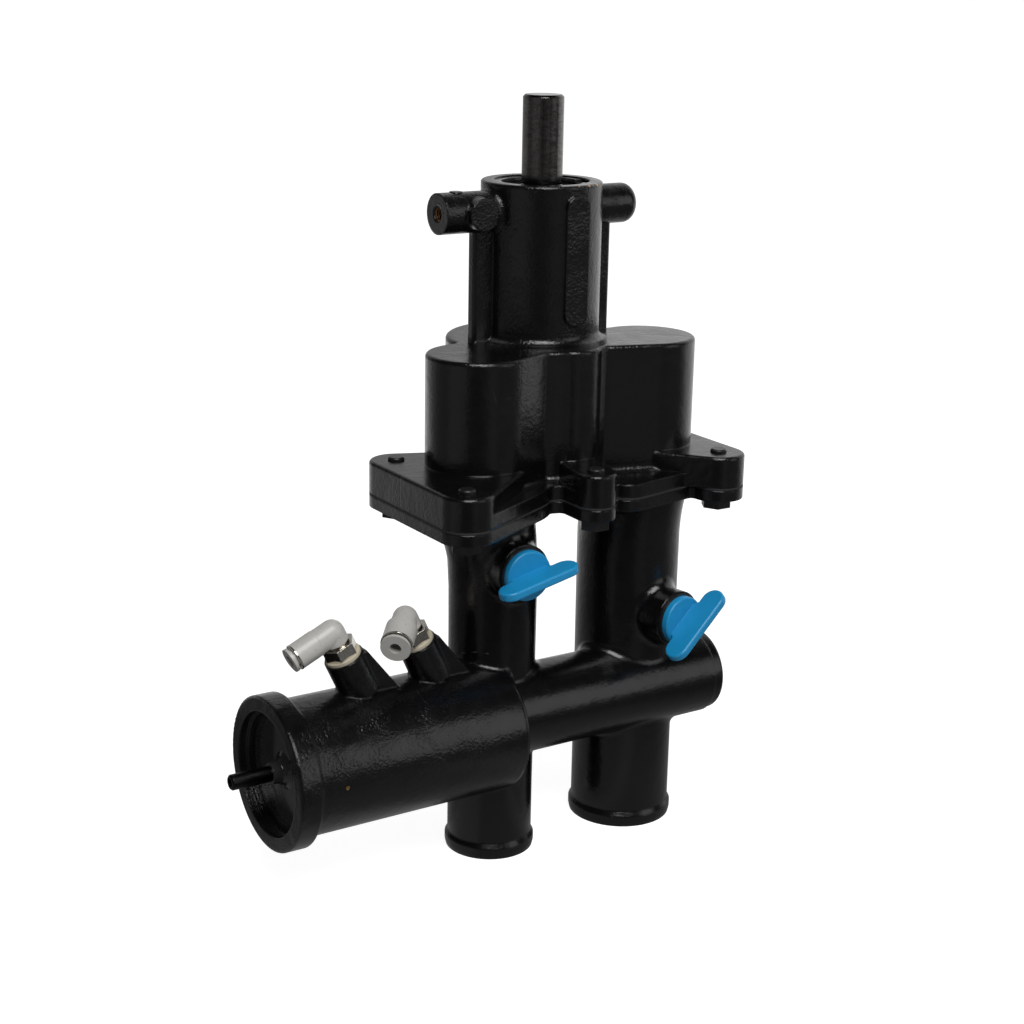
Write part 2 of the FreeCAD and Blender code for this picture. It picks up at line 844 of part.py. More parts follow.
def bead(tail, radius):
    """Make the raised bead that keeps a hose on its tail."""
    rise = num(sizes.bead_rise)
    r = num(radius)
    height = num(sizes.bead_height)
    corners = [
        Vector(r - OVERRUN, 0, 0), Vector(r + rise * 0.6, 0, 0), Vector(r + rise, 0, height * 0.3),
        Vector(r + rise, 0, height * 0.7), Vector(r, 0, height), Vector(r - OVERRUN, 0, height),
    ]
    ring = Part.Face(Part.makePolygon(corners + corners[:1])).revolve(Vector(), UP, 360)
    ring.translate(point(*tail, feet))
    return ring


def tail_inside(tail, radius, duct_place, flare_length):
    """Make the water way of one hose tail."""
    flare_foot = plate_bottom - flare_length
    way = loft([(tail, flare_foot, radius), (duct_place, plate_top, sizes.duct_radius)])
    return [upright(radius, tail, feet, flare_foot), way]


def port_axis():
    """Give the direction in which the air ports lean."""
    lean = math.radians(num(sizes.port_tilt))
    return Vector(-math.sin(lean), 0, math.cos(lean))


def port_face(out):
    """Give the middle of an air port's end face."""
    return point(-out, drain_y, cylinder_level + sizes.port_boss_rise)


def port_boss(out):
    """Make the leaning boss of one air port with the web behind it."""
    face = port_face(out)
    way = port_axis()
    lip = num(sizes.port_lip)
    crown = num(cylinder_level + sizes.cylinder_radius)
    boss = cylinder(sizes.port_boss_radius, face - way * num(sizes.port_boss_length), face)
    half = num(sizes.port_web) / 2
    across = Vector(way.z, 0, -way.x)
    high = face + across * num(sizes.port_boss_radius) - way * lip
    far = Vector(face.x + num(sizes.port_web_run), face.y, crown - lip)
    near = Vector(face.x + way.x * num(sizes.port_web_lap), face.y, crown - num(sizes.port_web_drop))
    corners = [high, far, Vector(far.x, far.y, near.z), near, face - way * lip * 2]
    side = Part.Face(Part.makePolygon(corners + corners[:1]))
    side.translate(Vector(0, -half, 0))
    return [boss, side.extrude(Vector(0, 2 * half, 0))]


def plug_axis(yaw):
    """Give the direction in which a drain plug is drawn out."""
    angle = math.radians(num(yaw))
    return Vector(math.sin(angle), -math.cos(angle), 0)


def plug_frame(tail, drop, seat, yaw):
    """Give the seat's middle and the outward direction of a drain plug."""
    way = plug_axis(yaw)
    middle = point(*tail, plate_top - drop) + way * num(seat)
    return middle, way


left_plug = (left_tail, sizes.left_plug_drop, sizes.left_plug_seat, sizes.left_plug_yaw)
right_plug = (right_tail, sizes.right_plug_drop, sizes.right_plug_seat, sizes.right_plug_yaw)


def across_bar(radius, level, start, end):
    """Make a bar along X between two distances from the shaft."""
    return cylinder(radius, point(start, drain_y, level), point(end, drain_y, level))


def drain_line():
    """Make the cross tube and the air cylinder with its rim as one bar with rounded steps."""
    cross_start = -sizes.cylinder_root - sizes.cylinder_edge
    cross = across_bar(sizes.cross_radius, cross_level, cross_start, sizes.cross_reach)
    air = across_bar(sizes.cylinder_radius, cylinder_level, -sizes.cylinder_reach, -sizes.cylinder_root)
    air = air.makeFillet(num(sizes.cylinder_edge), ends_at(air, -sizes.cylinder_root))
    rim_root = sizes.rim_width - sizes.cylinder_reach
    rim = across_bar(sizes.rim_radius, cylinder_level, -sizes.cylinder_reach, rim_root)
    rim = rim.makeFillet(num(sizes.rim_edge), ends_at(rim, -sizes.cylinder_reach) + ends_at(rim, rim_root))
    line = joined([cross, air, rim])
    return line.makeFillet(num(sizes.drain_line_round), inward_edges(line))


def joined_tail(line, tail_pieces, plug, root_round):
    """Join a hose tail and its plug's boss to the drain line, with fillets where they meet."""
    middle, way = plug_frame(*plug)
    boss = cylinder(sizes.plug_boss_radius, middle - way * num(plug[2]), middle)
    tail = joined(tail_pieces + [boss])
    tail = tail.makeFillet(num(sizes.plug_root_round), inward_edges(tail))
    both = joined([tail, line])
    return both.makeFillet(num(root_round), new_edges(inward_edges(both), tail, line))


def lower_body():
    """Make the outside of the lower casting."""
    left_pieces = tail_outside(
        left_tail, sizes.left_tail_radius, between(left_tail, left_column, 0.85),
        sizes.left_flare_radius, sizes.left_flare_length, left_land_top,
    )
    right_pieces = tail_outside(
        right_tail, sizes.right_tail_radius, between(right_tail, right_column, 0.7),
        sizes.right_flare_radius, sizes.right_flare_length, right_land_top,
    )
    line = joined_tail(drain_line(), left_pieces, left_plug, sizes.left_root_round)
    line = joined_tail(line, right_pieces, right_plug, sizes.right_root_round)
    plate = prism(flange_plan(), plate_bottom, plate_top)
    beads = [bead(left_tail, sizes.left_tail_radius), bead(right_tail, sizes.right_tail_radius)]
    bosses = port_boss(sizes.outer_port_out) + port_boss(sizes.inner_port_out)
    return joined([plate, line] + beads + bosses)


cap_face = sizes.end_cap_recess - sizes.cylinder_reach
drain_half = sizes.drain_room_length / 2
port_hole_length = num(sizes.port_boss_rise - sizes.piston_bore * 0.8) / port_axis().z


def lower_hollows():
    """List every hollow of the lower casting."""
    hollows = tail_inside(left_tail, left_bore, left_duct, sizes.left_flare_length)
    hollows += tail_inside(right_tail, right_bore, right_duct, sizes.right_flare_length)
    hollows.append(upright(
        sizes.impeller_bore + sizes.wear_plate_lap, (0, 0), plate_top - sizes.wear_plate_thickness, plate_top,
    ))
    level = cylinder_level
    hollows += [
        across_bar(sizes.mouth_radius, level, -sizes.cylinder_reach,
                   sizes.mouth_depth - sizes.cylinder_reach),
        across_bar(sizes.cap_seat_radius, level, -sizes.cylinder_reach,
                   sizes.cap_seat_depth - sizes.cylinder_reach),
        across_bar(sizes.cap_seat_radius + sizes.cap_ring_groove, level,
                   cap_face - sizes.cap_ring_width, cap_face),
        across_bar(sizes.piston_bore, level, -sizes.cylinder_reach, -sizes.cylinder_floor),
        across_bar(sizes.stem_radius + sizes.running_gap, level, -sizes.cylinder_floor, -sizes.left_tail_out),
        across_bar(sizes.valve_bore, level, -sizes.left_tail_out, sizes.cross_reach),
        across_bar(sizes.drain_room, level, -drain_half, drain_half),
        upright(sizes.drain_hole_radius, (0, drain_y), cross_level - sizes.cross_radius - OVERRUN, level),
    ]
    for out in (sizes.outer_port_out, sizes.inner_port_out):
        face = port_face(out)
        way = port_axis()
        hollows.append(cylinder(
            sizes.port_thread_radius + sizes.running_gap, face - way * num(sizes.port_thread_depth), face,
        ))
        hollows.append(cylinder(sizes.port_hole_radius, face - way * port_hole_length, face))
    for plug in (left_plug, right_plug):
        middle, way = plug_frame(*plug)
        hollows.append(cylinder(
            sizes.plug_shank_radius + sizes.running_gap, middle - way * num(plug[2]), middle,
        ))
    for place in bolt_places:
        hollows.append(upright(sizes.bolt_radius + sizes.bolt_clearance, place, plate_bottom, plate_top))
    return hollows


def manifold_casting():
    """Build the lower casting."""
    part_feature("manifold_casting", lower_body().cut(joined_loose(lower_hollows())))


# Gasket, bolts and the pieces clamped between the castings

def flange_gasket():
    """Build the gasket, open at the chamber, the two ducts and the bolts."""
    sheet_face = prism(flange_plan(), plate_top, seam)
    openings = [upright(sizes.impeller_bore, (0, 0), plate_top, seam)]
    openings += [upright(sizes.duct_radius, duct, plate_top, seam) for duct in (left_duct, right_duct)]
    bolt_hole = sizes.bolt_radius + sizes.bolt_clearance
    openings += [upright(bolt_hole, place, plate_top, seam) for place in bolt_places]
    part_feature("flange_gasket", sheet_face.cut(joined_loose(openings)))


def hexagon_bar(flats, low, high):
    """Make an upright hexagonal bar about the origin."""
    reach = num(flats) / math.sqrt(3)
    corners = [Vector(reach * math.cos(turn), reach * math.sin(turn), 0)
               for turn in (math.radians(60 * side) for side in range(7))]
    return prism(Part.Face(Part.makePolygon(corners)), low, high)


def flange_bolts():
    """Build the hexagon bolts, which come up through the plate and end above the pads."""
    head_bottom = plate_bottom - sizes.bolt_head_height
    head = hexagon_bar(sizes.bolt_head_flats, head_bottom, plate_bottom)
    shank = upright(sizes.bolt_radius, (0, 0), plate_bottom, pad_top + sizes.bolt_proud)
    shank = shank.makeChamfer(num(sizes.bolt_point), edges_at(shank, pad_top + sizes.bolt_proud))
    bolt = joined([head, shank]).Solids[0]
    bolts = [placed(bolt, (*place, 0), NO_TURN) for place in bolt_places]
    part_feature("flange_bolts", Part.makeCompound(bolts))


def wear_plate():
    """Build the plate that the impeller's lower ends run on."""
    radius = sizes.impeller_bore + sizes.wear_plate_lap
    low = plate_top - sizes.wear_plate_thickness
    turned("wear_plate", [(0, low), (radius, low), (radius, plate_top), (0, plate_top)])


# Shaft line

shaft_end = seam + sizes.hub_inset
impeller_low = plate_top + sizes.impeller_end_gap
impeller_high = chamber_ceiling - sizes.impeller_end_gap
impeller_length = impeller_high - impeller_low
key_low = (impeller_low + impeller_high - sizes.key_length) / 2
key_high = key_low + sizes.key_length
clip_bottom = lower_bearing_bottom - sizes.ring_width
pitch_radius = (sizes.shaft_radius + sizes.bearing_radius) / 2


def slot(body, name, inner, outer, low, high, width):
    """Cut a straight slot along +X into a turned body."""
    corners = [(inner, low), (outer, low), (outer, high), (inner, high)]
    sketch = outline_sketch(body, f"{name}_outline", "XZ_Plane", corners)
    pocket = body.newObject("PartDesign::Pocket", name)
    pocket.Profile = sketch
    pocket.Midplane = True
    pocket.setExpression("Length", as_size(width).text)
    body.Tip = pocket


def drive_shaft():
    """Build the shaft with its clip groove, key seat and plain driving end."""
    radius = sizes.shaft_radius
    chamfer = sizes.shaft_chamfer
    relief = radius - sizes.relief_depth
    relief_low = -sizes.relief_drop - sizes.relief_width
    slope = sizes.relief_depth
    groove = radius - sizes.clip_depth
    body = turned("drive_shaft", [
        (0, shaft_end), (radius - chamfer, shaft_end), (radius, shaft_end + chamfer),
        (radius, clip_bottom), (groove, clip_bottom), (groove, lower_bearing_bottom),
        (radius, lower_bearing_bottom), (radius, relief_low - slope), (relief, relief_low),
        (relief, -sizes.relief_drop - slope), (radius, -sizes.relief_drop),
        (radius, sizes.shaft_reach - chamfer), (radius - chamfer, sizes.shaft_reach), (0, sizes.shaft_reach),
    ])
    floor = radius - sizes.key_height / 2
    slot(body, "key_seat", floor, radius + OVERRUN, key_low, key_high, sizes.key_width)


def impeller_key():
    """Build the key that drives the impeller."""
    key = doc.addObject("Part::Box", "impeller_key")
    key.setExpression("Length", sizes.key_height.text)
    key.setExpression("Width", sizes.key_width.text)
    key.setExpression("Height", sizes.key_length.text)
    bind_place(key, (sizes.shaft_radius - sizes.key_height / 2, -sizes.key_width / 2, key_low), NO_TURN)


def race(label, inner, outer, low):
    """Build one bearing ring with the groove that its balls roll in."""
    body = turned(label, ring_profile(inner, outer, low, low + sizes.bearing_width))
    middle = low + sizes.bearing_width / 2
    sketch = body.newObject("Sketcher::SketchObject", f"{label}_groove_outline")
    sketch.AttachmentSupport = (origin_feature(body, "XZ_Plane"), [""])
    sketch.MapMode = "FlatFace"
    groove_radius = sizes.ball_radius + sizes.running_gap
    centre = Vector(pitch_radius.number, middle.number, 0)
    sketch.addGeometry(Part.Circle(centre, UP, groove_radius.number), False)
    bound = (("DistanceX", pitch_radius), ("DistanceY", middle))
    for kind, coordinate in bound:
        place = sketch.addConstraint(Sketcher.Constraint(kind, -1, 1, 0, 3, coordinate.number))
        sketch.setExpression(f"Constraints[{place}]", coordinate.text)
    place = sketch.addConstraint(Sketcher.Constraint("Radius", 0, groove_radius.number))
    sketch.setExpression(f"Constraints[{place}]", groove_radius.text)
    groove = body.newObject("PartDesign::Groove", f"{label}_groove")
    groove.Profile = sketch
    groove.ReferenceAxis = (sketch, ["V_Axis"])
    groove.Angle = 360
    body.Tip = groove


def bearing(name, top):
    """Build one ball bearing: two rings and the set of balls between them."""
    low = top - sizes.bearing_width
    race(f"{name}_bearing_inner_ring", sizes.shaft_radius, sizes.shaft_radius + sizes.race_land, low)
    race(f"{name}_bearing_outer_ring", sizes.bearing_radius - sizes.race_land, sizes.bearing_radius, low)
    count = int(sizes.ball_count.number)
    balls = []
    for number in range(count):
        turn = 2 * math.pi * number / count
        centre = Vector(math.cos(turn), math.sin(turn), 0) * pitch_radius.number
        centre.z = num(low + sizes.bearing_width / 2)
        balls.append(Part.makeSphere(num(sizes.ball_radius), centre))
    part_feature(f"{name}_bearing_balls", Part.makeCompound(balls))


def split_ring(label, inner, outer, low, high, turn=NO_TURN, at=(0, 0, 0)):
    """Build a spring ring that is open over a short arc."""
    body = turned(label, ring_profile(inner, outer, low, high), at, turn)
    doc.getObject(f"{label}_revolution").setExpression("Angle", (360 - sizes.ring_gap_angle).text)
    return body


def lip_seal_profile(inner, outer, low, high):
    """Give the section of a cased lip seal, hollow between its case and its lip."""
    floor = high - sizes.seal_shell
    foot = outer - sizes.race_land
    rim = outer - sizes.seal_rim
    lip = inner + sizes.seal_lip
    return [
        (inner, low + sizes.seal_lift), (foot, low + sizes.seal_lift), (foot, low),
        (outer, low), (outer, high),
        (rim, high), (rim, floor), (lip + sizes.seal_shell, floor), (lip, high - sizes.seal_lift),
        (inner, high - sizes.seal_lift),
    ]


def barrel_contents():
    """Build everything that is stacked in the barrel's bore."""
    running = sizes.shaft_radius + sizes.running_gap
    bore = sizes.bearing_radius
    split_ring("barrel_retaining_ring", bore - sizes.ring_inset, bore + sizes.ring_groove,
               dust_seal_top, ring_top)
    turned("dust_seal", lip_seal_profile(running, bore, upper_bearing_top, dust_seal_top))
    bearing("upper", upper_bearing_top)
    turned("bearing_spacer", ring_profile(bore - sizes.spacer_wall, bore, lower_bearing_top, spacer_top))
    bearing("lower", lower_bearing_top)
    split_ring("shaft_clip", sizes.shaft_radius - sizes.clip_depth, sizes.shaft_radius + sizes.clip_rise,
               clip_bottom, lower_bearing_bottom)
    slinger_low = slinger_floor + sizes.slinger_gap
    turned("slinger_ring", ring_profile(
        sizes.shaft_radius, sizes.slinger_radius, slinger_low, slinger_low + sizes.slinger_width,
    ))
    turned("water_seal", lip_seal_profile(running, sizes.seal_radius, seal_top - sizes.seal_width, seal_top))


def impeller_hub():
    """Build the bronze hub, slotted for the key."""
    low = impeller_low + sizes.hub_inset
    high = impeller_high - sizes.hub_inset
    body = turned("impeller_hub", ring_profile(sizes.shaft_radius, sizes.hub_radius, low, high))
    key_top = sizes.shaft_radius + sizes.key_height / 2
    slot(body, "keyway", 0, key_top, low - OVERRUN, high + OVERRUN, sizes.key_width)


def circle_sketch(body, name, circles):
    """Draw full circles whose centres and radii are held by the sheet's values."""
    sketch = body.newObject("Sketcher::SketchObject", name)
    sketch.AttachmentSupport = (origin_feature(body, "XY_Plane"), [""])
    sketch.MapMode = "FlatFace"
    for index, (across, radius) in enumerate(circles):
        across = as_size(across)
        sketch.addGeometry(Part.Circle(Vector(across.number, 0, 0), UP, radius.number), False)
        sketch.addConstraint(Sketcher.Constraint("PointOnObject", index, 3, -1))
        if across.number:
            place = sketch.addConstraint(Sketcher.Constraint("DistanceX", -1, 1, index, 3, across.number))
            sketch.setExpression(f"Constraints[{place}]", across.text)
        else:
            sketch.addConstraint(Sketcher.Constraint("PointOnObject", index, 3, -2))
        place = sketch.addConstraint(Sketcher.Constraint("Radius", index, radius.number))
        sketch.setExpression(f"Constraints[{place}]", radius.text)
    return sketch


def pad_feature(body, name, sketch, length):
    """Raise a sketch by a length held by the sheet."""
    pad = body.newObject("PartDesign::Pad", name)
    pad.Profile = sketch
    pad.setExpression("Length", as_size(length).text)
    body.Tip = pad
    return pad


def impeller():
    """Build the rubber impeller: a core bonded to the hub and its ring of bulb-ended vanes."""
    body = doc.addObject("PartDesign::Body", "impeller")
    reach = sizes.impeller_bore - sizes.cam_depth - sizes.vane_clearance
    bulb_out = reach - sizes.vane_tip
    half = sizes.vane_thickness / 2
    core = circle_sketch(body, "core_outline", [(0, sizes.impeller_core), (0, sizes.hub_radius)])
    pad_feature(body, "core", core, impeller_length)
    root = sizes.impeller_core - OVERRUN
    vane = outline_sketch(body, "vane_outline", "XY_Plane", [
        (root, -half), (bulb_out, -half), (bulb_out, half), (root, half),
    ])
    vane_pad = pad_feature(body, "vane", vane, impeller_length)
    bulb = circle_sketch(body, "bulb_outline", [(bulb_out, sizes.vane_tip)])
    bulb_pad = pad_feature(body, "bulb", bulb, impeller_length)
    doc.recompute()
    pattern = body.newObject("PartDesign::PolarPattern", "vanes")
    pattern.Originals = [vane_pad, bulb_pad]
    pattern.Axis = (origin_feature(body, "Z_Axis"), [""])
    pattern.Angle = 360
    pattern.Occurrences = int(sizes.vane_count.number)
    body.Tip = pattern
    bind_place(body, (0, 0, impeller_low), NO_TURN)


def cam_insert():
    """Build the bronze cam that squeezes the vanes between the two windows."""
    ease = sizes.cam_depth
    height = (chamber_ceiling - plate_top).text
    wall = doc.addObject("Part::Cylinder", "cam_blank")
    wall.setExpression("Radius", sizes.impeller_bore.text)
    sweep = doc.addObject("Part::Cylinder", "cam_sweep")
    sweep.setExpression("Radius", (sizes.impeller_bore - sizes.cam_depth + ease).text)
    limits = doc.addObject("Part::Box", "cam_limits")
    limits.setExpression("Length", (sizes.cam_half_width * 2).text)
    limits.setExpression("Width", sizes.impeller_bore.text)
    for item in (wall, sweep, limits):
        item.setExpression("Height", height)
    bind_place(wall, (0, 0, plate_top), NO_TURN)
    bind_place(sweep, (0, ease, plate_top), NO_TURN)
    bind_place(limits, (-sizes.cam_half_width, -sizes.impeller_bore, plate_top), NO_TURN)
    crescent = doc.addObject("Part::Cut", "cam_crescent")
    crescent.Base = wall
    crescent.Tool = sweep
    cam = doc.addObject("Part::Common", "cam_insert")
    cam.Base = crescent
    cam.Tool = limits


# Drain valve and air cylinder, turned about an axis that runs out along -X

valve_centre = (0, drain_y, cylinder_level)
cap_out = sizes.cylinder_reach - sizes.end_cap_recess
seat_out = sizes.cylinder_reach - sizes.cap_seat_depth
right_land = sizes.right_tail_out - right_bore
left_land = sizes.left_tail_out - left_bore
right_valve_out = -(drain_half + right_land) / 2
left_valve_out = (drain_half + left_land) / 2
stem_end = sizes.cross_reach - sizes.spigot_floor - sizes.vane_clearance


def cord_groove(outer, middle):
    """Give the four corners of a seal's groove, going up the outside."""
    floor = outer - sizes.seal_cord * 2
    half = sizes.seal_cord + sizes.seal_cord_gap
    return [(outer, middle - half), (floor, middle - half), (floor, middle + half), (outer, middle + half)]


def cord_seal(label, outer, out):
    """Build a round-section sealing ring in its groove."""
    ring = doc.addObject("Part::Torus", label)
    ring.setExpression("Radius1", (outer - sizes.seal_cord).text)
    ring.setExpression("Radius2", sizes.seal_cord.text)
    bind_place(ring, (-out, drain_y, cylinder_level), LEFTWARD)


def valve_head(out):
    """Give the corners of one valve head on the stem, going outwards."""
    head = sizes.valve_bore - sizes.running_gap
    half = sizes.valve_length / 2
    rod = sizes.stem_radius
    start = [(rod, out - half), (head, out - half)]
    return start + cord_groove(head, out) + [(head, out + half), (rod, out + half)]


def drain_stem():
    """Build the stem with its two valve heads and the indicator at its outer end."""
    rod = sizes.stem_radius
    thin = sizes.indicator_radius
    tip = sizes.cylinder_reach + sizes.indicator_reach
    shoulder = sizes.piston_out + sizes.piston_width / 2 + sizes.piston_nut_height
    edge = sizes.indicator_edge
    hole_floor = tip - sizes.indicator_hole_depth
    turned("drain_stem", [
        (0, -stem_end), (rod, -stem_end), *valve_head(right_valve_out), *valve_head(left_valve_out),
        (rod, shoulder), (thin, shoulder), (thin, tip - edge), (thin - edge, tip),
        (sizes.indicator_hole, tip), (sizes.indicator_hole, hole_floor), (0, hole_floor),
    ], valve_centre, LEFTWARD)


def actuator():
    """Build the piston, its nut and seals, the end cap and the ring that holds it."""
    middle = sizes.piston_out
    half = sizes.piston_width / 2
    edge = sizes.piston_bore - sizes.running_gap
    turned("actuator_piston", [
        (sizes.stem_radius, middle - half), (edge, middle - half), *cord_groove(edge, middle),
        (edge, middle + half), (sizes.stem_radius, middle + half),
    ], valve_centre, LEFTWARD)
    nut_low = middle + half
    nut_high = nut_low + sizes.piston_nut_height
    nut = hexagon_bar(sizes.piston_nut_flats, nut_low, nut_high)
    nut = nut.cut(upright(sizes.stem_radius, (0, 0), nut_low, nut_high))
    part_feature("piston_nut", placed(nut, valve_centre, LEFTWARD))
    cord_seal("piston_seal", edge, middle)
    head = sizes.valve_bore - sizes.running_gap
    cord_seal("left_valve_seal", head, left_valve_out)
    cord_seal("right_valve_seal", head, right_valve_out)
    seal_out = (seat_out + cap_out) / 2
    hole = sizes.indicator_radius + sizes.running_gap
    base = sizes.cap_boss_radius
    neck = sizes.cap_boss_tip
    flare = base - neck
    turned("cylinder_end_cap", [
        (hole, seat_out), (sizes.cap_seat_radius, seat_out), *cord_groove(sizes.cap_seat_radius, seal_out),
        (sizes.cap_seat_radius, cap_out), (base, cap_out), (neck + flare * 0.5, cap_out + 0.8),
        (neck + flare * 0.2, cap_out + 2.2), (neck + flare * 0.05, cap_out + 4.4),
        (neck, cap_out + sizes.cap_boss_length), (hole, cap_out + sizes.cap_boss_length),
    ], valve_centre, LEFTWARD)
    cord_seal("end_cap_seal", sizes.cap_seat_radius, seal_out)
    ring_inner = sizes.cap_seat_radius - sizes.cap_ring_depth
    ring_outer = sizes.cap_seat_radius + sizes.cap_ring_groove
    split_ring("cap_retaining_ring", ring_inner, ring_outer, cap_out, cap_out + sizes.cap_ring_width,
               LEFTWARD, valve_centre)


def cross_tube_cap():
    """Build the cap that closes the cross tube and guides the stem's inner end."""
    guide = sizes.stem_radius + sizes.running_gap
    start = sizes.cross_reach - sizes.stem_travel - sizes.spigot_hold
    face = sizes.cross_reach + sizes.cap_thickness
    disc = across_bar(sizes.cap_radius, cross_level, sizes.cross_reach, face)
    disc = disc.makeFillet(num(sizes.cap_edge), ends_at(disc, face))
    plug = across_bar(sizes.valve_bore, cylinder_level, start, sizes.cross_reach)
    hole = across_bar(guide, cylinder_level, start, sizes.cross_reach - sizes.spigot_floor)
    part_feature("cross_tube_cap", joined([disc, plug]).cut(hole))


# Air fittings, made about the port's own axis and then leaned with the port

def port_turn(extra=0.0):
    """Give the turn from an upright axis to the port's axis, after a swivel about it."""
    return Rotation(UP, port_axis()) * Rotation(UP, num(extra))


def air_fitting(name, out, barrel_radius, swivel):
    """Build one push-in elbow: threaded stud, its seal, the elbow and the release ring."""
    place = port_face(out)
    hex_low = sizes.stud_seal_height
    hex_high = hex_low + sizes.stud_hex_height
    passage = upright(sizes.port_hole_radius, (0, 0), -sizes.port_thread_depth, sizes.elbow_rise)
    spigot_top = sizes.elbow_rise - sizes.stud_spigot_short
    stud = joined([
        upright(sizes.port_thread_radius, (0, 0), -sizes.port_thread_depth, hex_low),
        hexagon_bar(sizes.stud_flats, hex_low, hex_high),
        upright(sizes.stud_spigot_radius, (0, 0), hex_high, spigot_top),
    ]).cut(passage)
    part_feature(f"{name}_fitting_stud", placed(stud, place, port_turn()))
    ring = upright(sizes.stud_seal_radius, (0, 0), 0, hex_low)
    ring = ring.cut(upright(sizes.port_thread_radius, (0, 0), 0, hex_low))
    part_feature(f"{name}_fitting_seal", placed(ring, place, port_turn()))

    level = sizes.elbow_rise
    arm_middle = point(0, 0, level)
    start = point(sizes.elbow_barrel_start, 0, level)
    end = point(sizes.elbow_length, 0, level)
    elbow = joined([
        upright(sizes.elbow_radius, (0, 0), sizes.elbow_start, level),
        Part.makeSphere(num(sizes.elbow_radius), arm_middle),
        cylinder(sizes.elbow_radius, arm_middle, start),
        cylinder(barrel_radius, start, end),
    ])
    spigot_room = spigot_top + sizes.elbow_clearance
    collet_start = end - point(sizes.collet_depth + sizes.collet_room, 0)
    elbow = elbow.cut(joined_loose([
        upright(sizes.stud_spigot_radius + sizes.running_gap, (0, 0), hex_high, spigot_room),
        upright(sizes.port_hole_radius, (0, 0), hex_high, level),
        cylinder(sizes.port_hole_radius, arm_middle, end),
        cylinder(sizes.collet_radius + sizes.running_gap, collet_start, end),
    ]))
    part_feature(f"{name}_elbow", placed(elbow, place, port_turn(swivel)))

    lip_low = end + Vector(num(sizes.collet_gap), 0, 0)
    lip_high = lip_low + Vector(num(sizes.collet_lip), 0, 0)
    inner_end = end - Vector(num(sizes.collet_depth), 0, 0)
    collet = joined([
        cylinder(sizes.collet_radius, inner_end, lip_low),
        cylinder(barrel_radius - sizes.collet_lip_inset, lip_low, lip_high),
    ]).cut(cylinder(sizes.air_tube_radius, inner_end, lip_high))
    part_feature(f"{name}_release_ring", placed(collet, place, port_turn(swivel)))


# Drain plugs

def plug_turn(way, tilt):
    """Give the turn that points a plug's axis outwards and tilts its wing."""
    across = UP.cross(way) * -1
    facing = Rotation(across, UP * -1, way, "ZXY")
    return facing * Rotation(UP, num(tilt))


def wing_face():
    """Outline of the plug's wing: two lobes joined by a straight outer edge."""
    out = sizes.wing_lobe_out
    rise = sizes.wing_lobe_rise
    half = num(sizes.plug_disc_radius - sizes.wing_root)
    root = Part.Face(Part.makePolygon([
        Vector(-half, 0, 0), Vector(half, 0, 0), Vector(half, num(rise), 0), Vector(-half, num(rise), 0),
        Vector(-half, 0, 0),
    ]))
    lobes = strap_face((-out, rise), sizes.wing_lobe_radius, (out, rise), sizes.wing_lobe_radius)
    return rounded_plan([root, lobes], sizes.wing_notch)


def drain_plug(name, plug, tilt):
    """Build one hand-turned drain plug and the sealing ring under its disc."""
    middle, way = plug_frame(*plug)
    turn = plug_turn(way, tilt)
    disc_low = sizes.plug_seal_height
    disc_high = disc_low + sizes.plug_disc_height
    disc = upright(sizes.plug_disc_radius, (0, 0), disc_low, disc_high)
    disc = disc.makeFillet(num(sizes.plug_disc_edge), edges_at(disc, disc_high))
    shank = upright(sizes.plug_shank_radius, (0, 0), -sizes.plug_shank_length, disc_low)
    half = sizes.wing_thickness / 2
    wing = prism(wing_face(), -half, half)
    wing = wing.makeFillet(num(sizes.wing_edge), edges_at(wing, half) + edges_at(wing, -half))
    wing.rotate(Vector(), Vector(1, 0, 0), 90)
    wing.translate(point(0, 0, disc_high - sizes.wing_root))
    part_feature(f"{name}_drain_plug", placed(joined([disc, shank, wing]), middle, turn))
    ring = upright(sizes.plug_seal_radius, (0, 0), 0, disc_low)
    ring = ring.cut(upright(sizes.plug_shank_radius + sizes.running_gap, (0, 0), 0, disc_low))
    part_feature(f"{name}_plug_seal", placed(ring, middle, turn))


pump_housing()
manifold_casting()
flange_gasket()
flange_bolts()
wear_plate()
drive_shaft()
impeller_key()
barrel_contents()
impeller_hub()
impeller()
cam_insert()
drain_stem()
actuator()
cross_tube_cap()
air_fitting("outer", sizes.outer_port_out, sizes.outer_barrel_radius, sizes.outer_elbow_turn)
air_fitting("inner", sizes.inner_port_out, sizes.inner_barrel_radius, sizes.inner_elbow_turn)
drain_plug("left", left_plug, sizes.left_wing_tilt)
drain_plug("right", right_plug, sizes.right_wing_tilt)
doc.recompute()

# Blanks that other pieces are made from, which are no pieces of their own
WORKING_SOLIDS = ("cam_blank", "cam_sweep", "cam_limits", "cam_crescent")


def finished_pieces():
    """List the pieces of the pump, leaving out features inside bodies and working solids."""
    pieces = []
    for item in doc.Objects:
        if not item.isDerivedFrom("Part::Feature") or item.Name in WORKING_SOLIDS:
            continue
        if item.isDerivedFrom("PartDesign::Feature") or item.isDerivedFrom("Sketcher::SketchObject"):
            continue
        pieces.append(item)
    return pieces


for item in doc.Objects:
    if "Invalid" in item.State or "Error" in item.State:
        raise RuntimeError(f"{item.Name} failed: {item.State}")
pieces = finished_pieces()
for piece in pieces:
    if piece.Shape.isNull() or not piece.Shape.isValid() or not piece.Shape.Solids:
        raise RuntimeError(f"{piece.Label} has no sound shape")

os.makedirs("parts", exist_ok=True)
for piece in pieces:
    piece.Shape.exportStep(f"parts/{piece.Label}.step")
